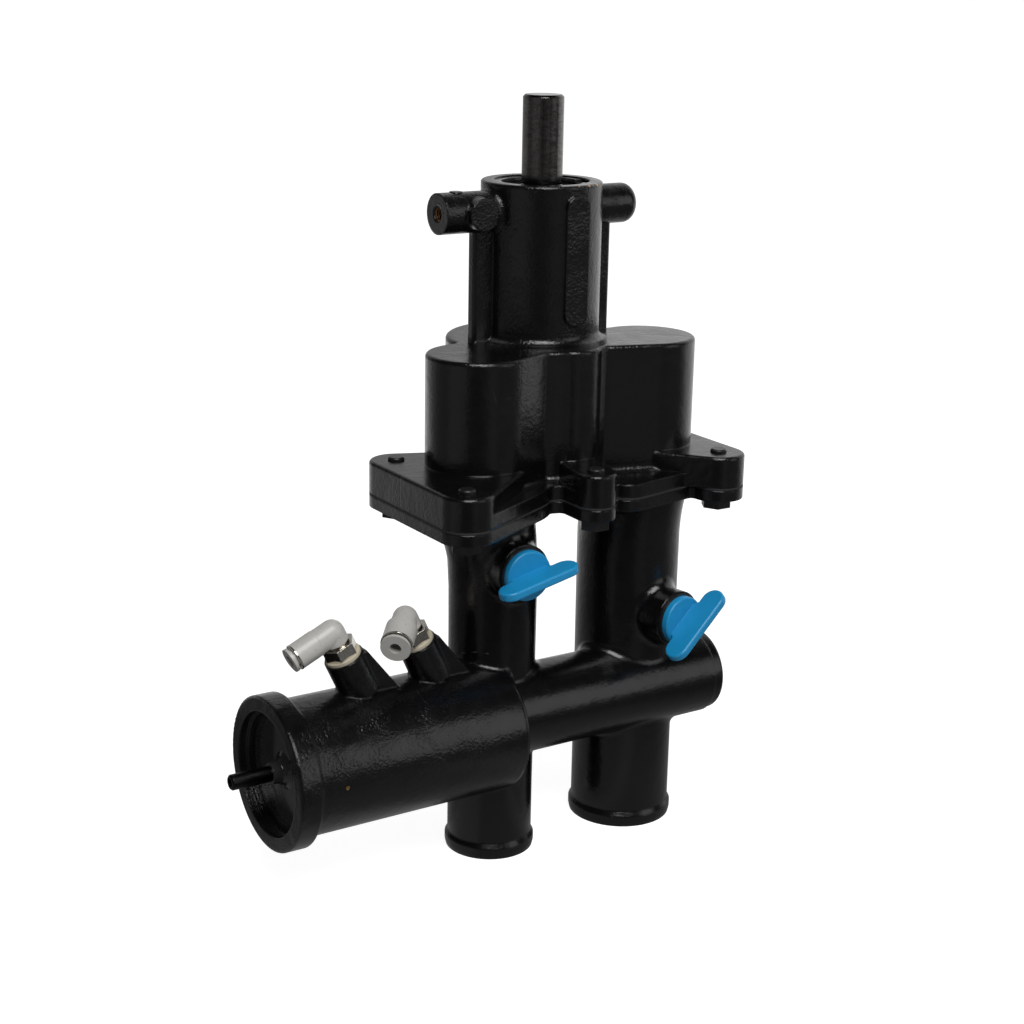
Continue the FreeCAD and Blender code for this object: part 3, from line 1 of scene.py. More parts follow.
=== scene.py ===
"""Dress a seawater pump: black painted castings, a ground shaft, blue drain plugs and air fittings.

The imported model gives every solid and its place. This script gives each of them its finish, adds the
small turned and threaded pieces that the castings and the fittings carry, and sets the studio and the
camera. Lengths are in metres. Where something changes smoothly, a pair of values tells where the
change starts and where it ends.
"""

import json
import logging
import math
from dataclasses import dataclass, field
from enum import Enum
from typing import Union

import bmesh
import bpy
from mathutils import Matrix, Vector

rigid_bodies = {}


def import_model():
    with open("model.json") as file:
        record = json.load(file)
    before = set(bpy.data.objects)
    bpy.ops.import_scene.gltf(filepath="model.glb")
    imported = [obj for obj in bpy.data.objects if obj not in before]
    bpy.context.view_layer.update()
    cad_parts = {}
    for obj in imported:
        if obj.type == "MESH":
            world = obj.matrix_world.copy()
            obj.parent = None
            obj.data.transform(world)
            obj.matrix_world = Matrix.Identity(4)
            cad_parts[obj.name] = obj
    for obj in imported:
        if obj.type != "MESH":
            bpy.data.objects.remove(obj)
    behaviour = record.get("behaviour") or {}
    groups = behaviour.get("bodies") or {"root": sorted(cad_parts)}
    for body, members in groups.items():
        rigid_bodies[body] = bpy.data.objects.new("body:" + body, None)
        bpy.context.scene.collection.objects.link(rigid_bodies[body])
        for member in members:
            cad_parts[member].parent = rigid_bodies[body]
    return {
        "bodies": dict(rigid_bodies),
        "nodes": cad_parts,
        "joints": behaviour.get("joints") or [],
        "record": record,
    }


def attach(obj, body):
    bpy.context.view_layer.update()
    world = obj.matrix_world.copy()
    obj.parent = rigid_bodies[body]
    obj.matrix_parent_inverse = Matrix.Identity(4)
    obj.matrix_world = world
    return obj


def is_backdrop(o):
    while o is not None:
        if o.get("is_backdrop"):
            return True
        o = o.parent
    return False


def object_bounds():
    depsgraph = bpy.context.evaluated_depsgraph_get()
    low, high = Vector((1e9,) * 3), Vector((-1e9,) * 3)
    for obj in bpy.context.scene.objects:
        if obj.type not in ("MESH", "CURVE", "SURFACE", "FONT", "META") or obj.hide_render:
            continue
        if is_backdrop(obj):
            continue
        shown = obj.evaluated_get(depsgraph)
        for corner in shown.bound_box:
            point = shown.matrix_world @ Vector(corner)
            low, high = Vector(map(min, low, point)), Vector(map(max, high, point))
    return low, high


LOG = logging.getLogger("seawater_pump")
MM = 0.001
WHITE = (1.0, 1.0, 1.0, 1.0)

Pair = tuple[float, float]
Triple = tuple[float, float, float]
Colour = tuple[float, float, float, float]
Socket = bpy.types.NodeSocket
Value = Union[float, tuple[float, ...], Vector, Socket]


class Slot(Enum):
    """The record's material slots."""

    BLACK_PAINT = "black_paint"
    SHAFT_STEEL = "shaft_steel"
    BEARING_STEEL = "bearing_steel"
    BOLT_STEEL = "bolt_steel"
    BRONZE = "bronze"
    SEAL_RUBBER = "seal_rubber"
    IMPELLER_RUBBER = "impeller_rubber"
    GASKET_PAPER = "gasket_paper"
    PLUG_BLUE = "plug_blue"
    FITTING_WHITE = "fitting_white"
    FITTING_NICKEL = "fitting_nickel"
    CAP_BLACK = "cap_black"
    INDICATOR_STEEL = "indicator_steel"


class Body(Enum):
    """The bodies that added pieces ride on."""

    ROOT = "root"
    OUTER_SWIVEL = "outer_swivel"
    INNER_SWIVEL = "inner_swivel"


class Graph:
    """A node tree with short calls for adding and joining nodes."""

    def __init__(self, tree: bpy.types.NodeTree) -> None:
        """Keep the tree that the nodes go into."""
        self.tree = tree

    def add(self, kind: str, **settings: object) -> bpy.types.Node:
        """Add a node.

        Args:
            kind: The node's type, such as ShaderNodeMath.
            settings: Attributes to set on it.

        Returns:
            The new node.
        """
        node = self.tree.nodes.new(kind)
        for name, value in settings.items():
            setattr(node, name, value)
        return node

    def join(self, source: Socket, target: Socket) -> None:
        """Link an output to an input."""
        self.tree.links.new(source, target)

    def feed(self, target: Socket, value: Value) -> None:
        """Put a value on an input.

        Args:
            target: The input.
            value: A number, a tuple or another node's output.
        """
        if isinstance(value, Socket):
            self.join(value, target)
        else:
            target.default_value = value

    def math(self, operation: str, *values: Value, clamp: bool = False) -> Socket:
        """Add a Math node.

        Args:
            operation: What it works out, such as MULTIPLY.
            values: Its inputs, as numbers or sockets.
            clamp: Whether the result is kept from 0 to 1.

        Returns:
            The result's socket.
        """
        node = self.add("ShaderNodeMath", operation=operation, use_clamp=clamp)
        for socket, value in zip(node.inputs, values):
            self.feed(socket, value)
        return node.outputs[0]

    def vector(self, operation: str, *values: Value) -> bpy.types.NodeOutputs:
        """Add a Vector Math node.

        Args:
            operation: What it works out, such as SUBTRACT.
            values: Its inputs, as vectors or sockets.

        Returns:
            Its outputs.
        """
        node = self.add("ShaderNodeVectorMath", operation=operation)
        for socket, value in zip(node.inputs, values):
            self.feed(socket, value)
        return node.outputs

    def dot(self, first: Value, second: Value) -> Socket:
        """Give the dot product of two vectors."""
        return self.vector("DOT_PRODUCT", first, second)["Value"]

    def distance(self, first: Value, second: Value) -> Socket:
        """Give the distance between two places."""
        return self.vector("DISTANCE", first, second)["Value"]

    def bearing(self, right: Value, near: Value) -> Socket:
        """Give the bearing in degrees, counted from near towards the right."""
        return self.math("DEGREES", self.math("ARCTAN2", right, near))

    def ramp(self, value: Value, low: Value, high: Value) -> Socket:
        """Turn a value smoothly from 0 at low to 1 at high.

        Args:
            value: The value, a socket.
            low: Where the result is 0.
            high: Where the result is 1. It may be less than low.

        Returns:
            The result's socket.
        """
        node = self.add("ShaderNodeMapRange", interpolation_type="SMOOTHSTEP")
        self.feed(node.inputs["Value"], value)
        self.feed(node.inputs["From Min"], low)
        self.feed(node.inputs["From Max"], high)
        return node.outputs["Result"]

    def spread(self, value: Value, low: float, high: float) -> Socket:
        """Map a value from 0..1 to low..high.

        Args:
            value: The value, a socket.
            low: The result where the value is 0.
            high: The result where the value is 1.

        Returns:
            The result's socket.
        """
        node = self.add("ShaderNodeMapRange")
        self.feed(node.inputs["Value"], value)
        node.inputs["To Min"].default_value = low
        node.inputs["To Max"].default_value = high
        return node.outputs["Result"]

    def noise(self, place: Value, grain: Value, detail: float = 2.0) -> Socket:
        """Add a noise texture.

        Args:
            place: The coordinates, a socket.
            grain: The size of one blot, in metres, a number or a socket.
            detail: How many finer layers it has.

        Returns:
            The noise, from 0 to 1.
        """
        node = self.add("ShaderNodeTexNoise")
        self.feed(node.inputs["Vector"], place)
        self.feed(node.inputs["Scale"], self.math("DIVIDE", 1.0, grain))
        node.inputs["Detail"].default_value = detail
        return node.outputs["Fac"]

    def blend(self, share: Value, first: Value, second: Value) -> Socket:
        """Mix two colours.

        Args:
            share: How much of the second colour there is, from 0 to 1.
            first: The first colour.
            second: The second colour.

        Returns:
            The mixed colour.
        """
        # The node has sockets for every kind of value, and these are the ones for colours.
        node = self.add("ShaderNodeMix", data_type="RGBA")
        self.feed(node.inputs[0], share)
        self.feed(node.inputs[6], first)
        self.feed(node.inputs[7], second)
        return node.outputs[2]

    def place(self) -> Socket:
        """Give the object's own coordinates, which are the frame's."""
        return self.add("ShaderNodeTexCoord").outputs["Object"]


class Effect:
    """A shader node group with named inputs and outputs, built once and placed in each material.

    Attributes:
        name: The group's name.
        inputs: The name, the socket's type and the first value of each input.
        outputs: The name and the socket's type of each output.
    """

    name: str = "effect"
    inputs: tuple[tuple[str, str, Value], ...] = ()
    outputs: tuple[tuple[str, str], ...] = ()

    def __init__(self) -> None:
        """Build the group's tree."""
        self.tree = bpy.data.node_groups.new(self.name, "ShaderNodeTree")
        for title, kind, value in self.inputs:
            socket = self.tree.interface.new_socket(title, in_out="INPUT", socket_type=kind)
            socket.default_value = value
        for title, kind in self.outputs:
            self.tree.interface.new_socket(title, in_out="OUTPUT", socket_type=kind)
        graph = Graph(self.tree)
        entry = graph.add("NodeGroupInput")
        leave = graph.add("NodeGroupOutput")
        self.build(graph, entry.outputs, leave.inputs)

    def build(self, graph: Graph, given: bpy.types.NodeOutputs, result: bpy.types.NodeInputs) -> None:
        """Build the nodes between the given sockets and the result's."""
        raise NotImplementedError

    def use(self, graph: Graph, **values: Value) -> bpy.types.NodeOutputs:
        """Place the group in a material.

        Args:
            graph: The material's tree.
            values: Its inputs by name, with an underscore for a space.

        Returns:
            The group's outputs.
        """
        node = graph.add("ShaderNodeGroup", node_tree=self.tree)
        for title, value in values.items():
            graph.feed(node.inputs[title.replace("_", " ")], value)
        return node.outputs


class CastSkin(Effect):
    """The skin of a sand casting under thick paint: a patchy stipple on a slow orange peel.

    The stipple is coarse on the air cylinder and on the barrel, and calmer on the other forms.

    Attributes:
        patch_size: The size of the stipple's patches.
        patch_rim: The noise's values between which a patch fades in.
        patch_low: The stipple's share between the patches.
        calm: Its share on the calmer forms.
        cylinder_x: Where the air cylinder starts, towards the left.
        cylinder_z: Where it starts, downwards.
        barrel_z: Where the barrel starts, upwards.
        slow_size: The size of the slow unevenness.
        tone_size: The size of the lighter and darker patches.
    """

    name = "cast_skin"
    inputs = (
        ("Stipple Size", "NodeSocketFloat", 0.0008),
        ("Stipple", "NodeSocketFloat", 1.0),
        ("Peel Size", "NodeSocketFloat", 0.004),
        ("Peel", "NodeSocketFloat", 1.0),
    )
    outputs = (("Height", "NodeSocketFloat"), ("Tone", "NodeSocketFloat"))

    patch_size: float = 0.011
    patch_rim: Pair = (0.36, 0.62)
    patch_low: float = 0.35
    calm: float = 0.4
    cylinder_x: Pair = (-0.040, -0.055)
    cylinder_z: Pair = (-0.155, -0.170)
    barrel_z: Pair = (-0.065, -0.050)
    slow_size: float = 0.019
    tone_size: float = 0.006

    def build(self, graph: Graph, given: bpy.types.NodeOutputs, result: bpy.types.NodeInputs) -> None:
        """Join the stipple to the peel and to a slow unevenness.

        Args:
            graph: The group's tree.
            given: What the group is given.
            result: What it puts out.
        """
        place = graph.place()
        stipple = graph.noise(place, given["Stipple Size"])
        patches = graph.ramp(graph.noise(place, self.patch_size), *self.patch_rim)
        strength = graph.math("MULTIPLY", given["Stipple"], graph.spread(patches, self.patch_low, 1.0))
        coarse = graph.spread(self.coarse_forms(graph, place), self.calm, 1.0)
        fine = graph.math("MULTIPLY", stipple, graph.math("MULTIPLY", strength, coarse))
        peel = graph.math("MULTIPLY", graph.noise(place, given["Peel Size"], detail=1.0), given["Peel"])
        slow = graph.noise(place, self.slow_size, detail=0.0)
        graph.join(graph.math("ADD", graph.math("ADD", fine, peel), slow), result["Height"])
        graph.join(graph.noise(place, self.tone_size, detail=3.0), result["Tone"])

    def coarse_forms(self, graph: Graph, place: Socket) -> Socket:
        """Tell the coarse forms from the calmer ones.

        Args:
            graph: The group's tree.
            place: The casting's coordinates.

        Returns:
            1 on the air cylinder and on the barrel, and 0 on the other forms.
        """
        split = graph.add("ShaderNodeSeparateXYZ")
        graph.join(place, split.inputs[0])
        left = graph.ramp(split.outputs["X"], *self.cylinder_x)
        low = graph.ramp(split.outputs["Z"], *self.cylinder_z)
        barrel = graph.ramp(split.outputs["Z"], *self.barrel_z)
        return graph.math("MAXIMUM", graph.math("MULTIPLY", left, low), barrel)


class Chip(Effect):
    """A ragged bare spot round one point.

    Attributes:
        tooth_size: The size of the teeth along its rim.
        rim: The shares of its reach between which it fades in.
    """

    name = "chip"
    inputs = (
        ("Centre", "NodeSocketVector", (0.0, 0.0, 0.0)),
        ("Reach", "NodeSocketFloat", 0.001),
        ("Ragged", "NodeSocketFloat", 0.6),
    )
    outputs = (("Mask", "NodeSocketFloat"),)

    tooth_size: float = 0.0006
    rim: Pair = (0.95, 0.8)

    def build(self, graph: Graph, given: bpy.types.NodeOutputs, result: bpy.types.NodeInputs) -> None:
        """Cut the spot off where the jittered distance passes its reach.

        Args:
            graph: The group's tree.
            given: What the group is given.
            result: What it puts out.
        """
        place = graph.place()
        share = graph.math("DIVIDE", graph.distance(place, given["Centre"]), given["Reach"])
        jitter = graph.math("SUBTRACT", graph.noise(place, self.tooth_size), 0.5)
        edge = graph.math("ADD", share, graph.math("MULTIPLY", jitter, given["Ragged"]))
        graph.join(graph.ramp(edge, *self.rim), result["Mask"])


class Stroke(Effect):
    """A thin straight line from one point to another, such as a scratch or a mould's parting line.

    Attributes:
        rim: The shares of its width between which it fades in.
    """

    name = "stroke"
    inputs = (
        ("Start", "NodeSocketVector", (0.0, 0.0, 0.0)),
        ("Way", "NodeSocketVector", (0.0, 0.0, 0.01)),
        ("Width", "NodeSocketFloat", 0.0003),
    )
    outputs = (("Mask", "NodeSocketFloat"),)

    rim: Pair = (1.0, 0.4)

    def build(self, graph: Graph, given: bpy.types.NodeOutputs, result: bpy.types.NodeInputs) -> None:
        """Fade the line with the distance from its nearest point.

        Args:
            graph: The group's tree.
            given: What the group is given.
            result: What it puts out.
        """
        offset = graph.vector("SUBTRACT", graph.place(), given["Start"])["Vector"]
        whole = graph.dot(given["Way"], given["Way"])
        share = graph.math("DIVIDE", graph.dot(offset, given["Way"]), whole, clamp=True)
        nearest = graph.add("ShaderNodeVectorMath", operation="SCALE")
        graph.join(given["Way"], nearest.inputs[0])
        graph.join(share, nearest.inputs["Scale"])
        away = graph.distance(offset, nearest.outputs["Vector"])
        graph.join(graph.ramp(graph.math("DIVIDE", away, given["Width"]), *self.rim), result["Mask"])


class TurnedGrain(Effect):
    """Fine lathe and grinding marks across the stretched axis, with a speckle over them.

    Attributes:
        line_size: The size of the lines before they are stretched.
    """

    name = "turned_grain"
    inputs = (
        ("Stretch", "NodeSocketVector", (1.0, 1.0, 12.0)),
        ("Speckle Size", "NodeSocketFloat", 0.0004),
    )
    outputs = (("Lines", "NodeSocketFloat"), ("Speckle", "NodeSocketFloat"))

    line_size: float = 0.003

    def build(self, graph: Graph, given: bpy.types.NodeOutputs, result: bpy.types.NodeInputs) -> None:
        """Stretch one noise into lines and leave another as it is.

        Args:
            graph: The group's tree.
            given: What the group is given.
            result: What it puts out.
        """
        place = graph.place()
        stretched = graph.vector("MULTIPLY", place, given["Stretch"])["Vector"]
        graph.join(graph.noise(stretched, self.line_size, detail=3.0), result["Lines"])
        graph.join(graph.noise(place, given["Speckle Size"], detail=1.0), result["Speckle"])


class EdgeBand(Effect):
    """The band along an edge, found from how far a rounded normal leans from the true one."""

    name = "edge_band"
    inputs = (("Rounded", "NodeSocketVector", (0.0, 0.0, 1.0)), ("Width", "NodeSocketFloat", 0.05))
    outputs = (("Mask", "NodeSocketFloat"),)

    def build(self, graph: Graph, given: bpy.types.NodeOutputs, result: bpy.types.NodeInputs) -> None:
        """Compare the two normals.

        Args:
            graph: The group's tree.
            given: What the group is given.
            result: What it puts out.
        """
        normal = graph.add("ShaderNodeNewGeometry").outputs["Normal"]
        lean = graph.math("SUBTRACT", 1.0, graph.dot(given["Rounded"], normal))
        graph.join(graph.ramp(lean, 0.0, given["Width"]), result["Mask"])


@dataclass
class Effects:
    """The effects that the finishes share."""

    skin: CastSkin = field(default_factory=CastSkin)
    chip: Chip = field(default_factory=Chip)
    stroke: Stroke = field(default_factory=Stroke)
    grain: TurnedGrain = field(default_factory=TurnedGrain)
    edge: EdgeBand = field(default_factory=EdgeBand)


def point(x: float, y: float, z: float) -> Triple:
    """Give a point in metres from millimetres."""
    return (x * MM, y * MM, z * MM)


def tint(colour: Triple, share: float = 1.0) -> Colour:
    """Give an opaque colour, darker or lighter by a share, and no lighter than white."""
    red, green, blue = (min(1.0, c * share) for c in colour)
    return (red, green, blue, 1.0)


@dataclass(frozen=True)
class Finish:
    """What every finish has: a Principled shader with its plain values, and a bump.

    Attributes:
        slot: The record's slot that it dresses.
        colour: Its plain colour.
        roughness: Its plain roughness.
        ior: Its index of refraction.
        metallic: 1 for bare metal.
        edge_radius: How far its edges look rounded.
        smoother: How far the roughness falls below the plain one where the surface is uneven.
        rougher: How far it rises above it.
        title: What sets it apart from another finish of the same slot.
    """

    slot: Slot
    colour: Triple
    roughness: float
    ior: float = 1.5
    metallic: float = 0.0
    edge_radius: float = 0.0003
    smoother: float = 0.0
    rougher: float = 0.0
    title: str = "finish"

    def material(self, effects: Effects) -> bpy.types.Material:
        """Make the finish's material.

        Args:
            effects: The shared node groups.

        Returns:
            The material, named after its slot and its title.
        """
        made = bpy.data.materials.new(f"{self.slot.value}_{self.title}")
        made.use_nodes = True
        graph = Graph(made.node_tree)
        shader = made.node_tree.nodes["Principled BSDF"]
        shader.inputs["Base Color"].default_value = tint(self.colour)
        shader.inputs["Roughness"].default_value = self.roughness
        shader.inputs["IOR"].default_value = self.ior
        shader.inputs["Metallic"].default_value = self.metallic
        self.dress(graph, shader, effects)
        return made

    def dress(self, graph: Graph, shader: bpy.types.Node, effects: Effects) -> None:
        """Add the finish's own nodes."""
        raise NotImplementedError

    def uneven(self, graph: Graph, share: Value) -> Socket:
        """Give a roughness that runs from the smoother to the rougher one with the share."""
        return graph.spread(share, self.roughness - self.smoother, self.roughness + self.rougher)

    def rounded(self, graph: Graph) -> Socket:
        """Make normals that turn over softly at the edges.

        Args:
            graph: The material's tree.

        Returns:
            The normals.
        """
        bevel = graph.add("ShaderNodeBevel", samples=4)
        bevel.inputs["Radius"].default_value = self.edge_radius
        return bevel.outputs["Normal"]

    def bump(self, graph: Graph, shader: bpy.types.Node, height: Value, depth: float) -> Socket:
        """Feed a height to the shader's normal.

        Args:
            graph: The material's tree.
            shader: The shader.
            height: The height, about 0 to 1.
            depth: How many metres a height of 1 is.

        Returns:
            The rounded normal under the bump.
        """
        node = graph.add("ShaderNodeBump")
        node.inputs["Distance"].default_value = depth
        graph.feed(node.inputs["Height"], height)
        normal = self.rounded(graph)
        graph.join(normal, node.inputs["Normal"])
        graph.join(node.outputs["Normal"], shader.inputs["Normal"])
        return normal


@dataclass(frozen=True)
class Mark:
    """A straight mark on the paint, such as a scratch, a groove or a painted highlight line: its start,
    its run, its width, how high and how pale it is.
    """

    start: Triple
    way: Triple
    width: float
    rise: float
    pale: float


@dataclass(frozen=True)
class CastPaint(Finish):
    """Thick semi-gloss black paint over bronze castings, chipped at a few edges.

    Attributes:
        bare: The bronze's colour where the paint is off.
        pale: The colour of a mark's pale paint: worn paint on the scratch, and a painted highlight on
            the raised lines where the left tail meets the air cylinder.
        stipple_size: The size of the stipple's blots.
        stipple: How strong the stipple is, beside the slow unevenness.
        peel_size: The size of the orange peel's blots.
        peel: How strong the peel is.
        depth: How many metres a height of 1 is.
        light_tone: How much lighter the paint's light patches are.
        chip_depth: How deep a chip is, as a height.
        edge_gloss: How much smoother the paint is where it runs thin over an edge.
        chips: Where the chips are, and how far each reaches.
        marks: The marks.
    """

    smoother: float = 0.06
    rougher: float = 0.08
    bare: Triple = (0.52, 0.33, 0.12)
    pale: Triple = (0.05, 0.05, 0.052)
    stipple_size: float = 0.00095
    stipple: float = 1.5
    peel_size: float = 0.0030
    peel: float = 0.6
    depth: float = 0.00016
    light_tone: float = 1.7
    chip_depth: float = 0.6
    edge_gloss: float = 0.06
    chips: tuple[tuple[Triple, float], ...] = (
        (point(1.4, -22.2, 0.1), 0.0007),
        (point(3.6, -22.0, 0.1), 0.0005),
        (point(6.4, -21.3, 0.0), 0.0008),
        (point(8.6, -20.6, 0.0), 0.0006),
        (point(11.5, -19.1, 0.0), 0.0010),
        (point(13.4, -17.8, -0.1), 0.0006),
        (point(-108.5, -51.7, -195.5), 0.0008),
    )
    marks: tuple[Mark, ...] = (
        Mark(point(-70.2, -19.7, -98.9), point(0.0, 0.0, -10.0), 0.0003, -1.6, 0.0),
        Mark(point(-42.8, -36.5, -66.3), point(1.2, -0.4, -4.6), 0.00016, -0.8, 0.2),
        Mark(point(-40.6, -37.0, -67.2), point(-1.0, 0.2, -2.4), 0.00016, -0.8, 0.2),
        Mark(point(-111.6, -48.6, -183.4), point(1.3, -1.8, -4.0), 0.00045, -2.0, 0.0),
        # The last two marks are raised lines, nearly all pale, where the left tail meets the air
        # cylinder: a painted highlight for the light that a fillet there would catch. The others are
        # grooves and a scratch.
        Mark(point(-46.2, -23.5, -167.4), point(2.5, -5.0, 1.6), 0.0003, 0.8, 0.9),
        Mark(point(-43.7, -28.5, -165.8), point(3.4, -3.5, -0.2), 0.0003, 0.8, 0.9),
    )

    def dress(self, graph: Graph, shader: bpy.types.Node, effects: Effects) -> None:
        """Lay the skin, chip the edges and draw the marks.

        Args:
            graph: The material's tree.
            shader: Its shader.
            effects: The shared node groups.
        """
        skin = effects.skin.use(
            graph,
            Stipple_Size=self.stipple_size,
            Stipple=self.stipple,
            Peel_Size=self.peel_size,
            Peel=self.peel,
        )
        bare = 0.0
        for centre, reach in self.chips:
            spot = effects.chip.use(graph, Centre=centre, Reach=reach)["Mask"]
            bare = graph.math("MAXIMUM", bare, spot)
        sunken = graph.math("MULTIPLY", bare, self.chip_depth)
        height = graph.math("SUBTRACT", skin["Height"], sunken)
        colour = graph.blend(skin["Tone"], tint(self.colour), tint(self.colour, self.light_tone))
        for mark in self.marks:
            line = effects.stroke.use(graph, Start=mark.start, Way=mark.way, Width=mark.width)["Mask"]
            height = graph.math("ADD", height, graph.math("MULTIPLY", line, mark.rise))
            # A mark's pale share is worn paint on the scratch, and a painted highlight on the two
            # raised lines at the left tail's foot.
            colour = graph.blend(graph.math("MULTIPLY", line, mark.pale), colour, tint(self.pale))
        normal = self.bump(graph, shader, height, self.depth)
        edge = effects.edge.use(graph, Rounded=normal)["Mask"]
        gloss = graph.math("MULTIPLY", edge, self.edge_gloss)
        rough = graph.math("SUBTRACT", self.uneven(graph, skin["Tone"]), gloss)
        graph.join(graph.blend(bare, colour, tint(self.bare)), shader.inputs["Base Color"])
        graph.join(rough, shader.inputs["Roughness"])
        graph.join(bare, shader.inputs["Metallic"])


@dataclass(frozen=True)
class WorkedMetal(Finish):
    """Metal that was turned, ground or drawn, with fine lines and a speckle.

    Attributes:
        stretch: How the grain's coordinates are stretched, which sets the way of its lines.
        speckle_size: The size of the speckle's blots.
        contrast: How much darker and lighter the colour gets with the grain.
        depth: How many metres a height of 1 is.
        grain_rim: The grain's values between which the colour changes.
    """

    smoother: float = 0.07
    rougher: float = 0.09
    stretch: Triple = (1.0, 1.0, 14.0)
    speckle_size: float = 0.0004
    contrast: float = 0.25
    depth: float = 0.00001
    grain_rim: Pair = (0.3, 0.7)

    def dress(self, graph: Graph, shader: bpy.types.Node, effects: Effects) -> None:
        """Vary the colour, roughness and height with the grain.

        Args:
            graph: The material's tree.
            shader: Its shader.
            effects: The shared node groups.
        """
        grain = effects.grain.use(graph, Stretch=self.stretch, Speckle_Size=self.speckle_size)
        both = graph.math("MULTIPLY", graph.math("ADD", grain["Lines"], grain["Speckle"]), 0.5)
        low = tint(self.colour, 1.0 - self.contrast)
        high = tint(self.colour, 1.0 + self.contrast)
        colour = graph.blend(graph.ramp(both, *self.grain_rim), low, high)
        graph.join(colour, shader.inputs["Base Color"])
        graph.join(self.uneven(graph, grain["Lines"]), shader.inputs["Roughness"])
        self.bump(graph, shader, both, self.depth)


@dataclass(frozen=True)
class Moulded(Finish):
    """Moulded plastic or rubber: a faint texture, slow flow marks and a little grime.

    Attributes:
        texture_size: The size of the texture's blots.
        depth: How many metres a height of 1 is.
        flow: How much darker and lighter the flow marks are.
        flow_size: Their size.
        grime: How strong the specks of grime are.
        grime_size: Their size.
        grime_rim: The noise's values between which a speck fades in.
        grime_colour: Their colour.
    """

    smoother: float = 0.05
    rougher: float = 0.06
    texture_size: float = 0.0005
    depth: float = 0.00001
    flow: float = 0.06
    flow_size: float = 0.006
    grime: float = 0.0
    grime_size: float = 0.0009
    grime_rim: Pair = (0.62, 0.72)
    grime_colour: Triple = (0.12, 0.11, 0.10)

    def dress(self, graph: Graph, shader: bpy.types.Node, effects: Effects) -> None:
        """Vary the colour slowly and the surface finely.

        Args:
            graph: The material's tree.
            shader: Its shader.
            effects: The shared node groups.
        """
        place = graph.place()
        slow = graph.noise(place, self.flow_size)
        low = tint(self.colour, 1.0 - self.flow)
        high = tint(self.colour, 1.0 + self.flow)
        colour = graph.blend(slow, low, high)
        if self.grime:
            specks = graph.ramp(graph.noise(place, self.grime_size, detail=3.0), *self.grime_rim)
            share = graph.math("MULTIPLY", specks, self.grime)
            colour = graph.blend(share, colour, tint(self.grime_colour))
        graph.join(colour, shader.inputs["Base Color"])
        graph.join(self.uneven(graph, slow), shader.inputs["Roughness"])
        self.bump(graph, shader, graph.noise(place, self.texture_size), self.depth)


FINISHES: tuple[Finish, ...] = (
    CastPaint(Slot.BLACK_PAINT, (0.0024, 0.0024, 0.0026), 0.20, edge_radius=0.0011),
    WorkedMetal(
        Slot.SHAFT_STEEL,
        (0.118, 0.115, 0.111),
        0.19,
        metallic=1.0,
        stretch=(1.0, 1.0, 3.0),
        speckle_size=0.0005,
        contrast=0.45,
        depth=0.00003,
    ),
    WorkedMetal(Slot.BEARING_STEEL, (0.34, 0.34, 0.35), 0.28, metallic=1.0),
    WorkedMetal(Slot.BOLT_STEEL, (0.009, 0.009, 0.0095), 0.34, depth=0.00004),
    WorkedMetal(Slot.BRONZE, (0.27, 0.15, 0.07), 0.42, metallic=1.0),
    Moulded(Slot.SEAL_RUBBER, (0.012, 0.012, 0.012), 0.38),
    Moulded(Slot.IMPELLER_RUBBER, (0.016, 0.016, 0.016), 0.5),
    Moulded(Slot.GASKET_PAPER, (0.018, 0.018, 0.017), 0.7, depth=0.00005),
    Moulded(Slot.PLUG_BLUE, (0.010, 0.27, 0.56), 0.38, depth=0.00002),
    Moulded(Slot.FITTING_WHITE, (0.50, 0.49, 0.465), 0.34, grime=0.35),
    WorkedMetal(Slot.FITTING_NICKEL, (0.66, 0.63, 0.58), 0.16, metallic=1.0, edge_radius=0.0002),
    Moulded(Slot.CAP_BLACK, (0.030, 0.031, 0.031), 0.12, depth=0.000012),
    WorkedMetal(Slot.INDICATOR_STEEL, (0.03, 0.03, 0.032), 0.3, metallic=1.0),
)

SEAL_CREAM = Moulded(Slot.SEAL_RUBBER, (0.52, 0.47, 0.36), 0.5, title="cream")
RING_BLACK = WorkedMetal(
    Slot.BEARING_STEEL, (0.012, 0.012, 0.013), 0.25, edge_radius=0.0002, title="black"
)
NODE_FINISHES: dict[str, Finish] = {
    "outer_fitting_seal": SEAL_CREAM,
    "inner_fitting_seal": SEAL_CREAM,
    "cap_retaining_ring": RING_BLACK,
}


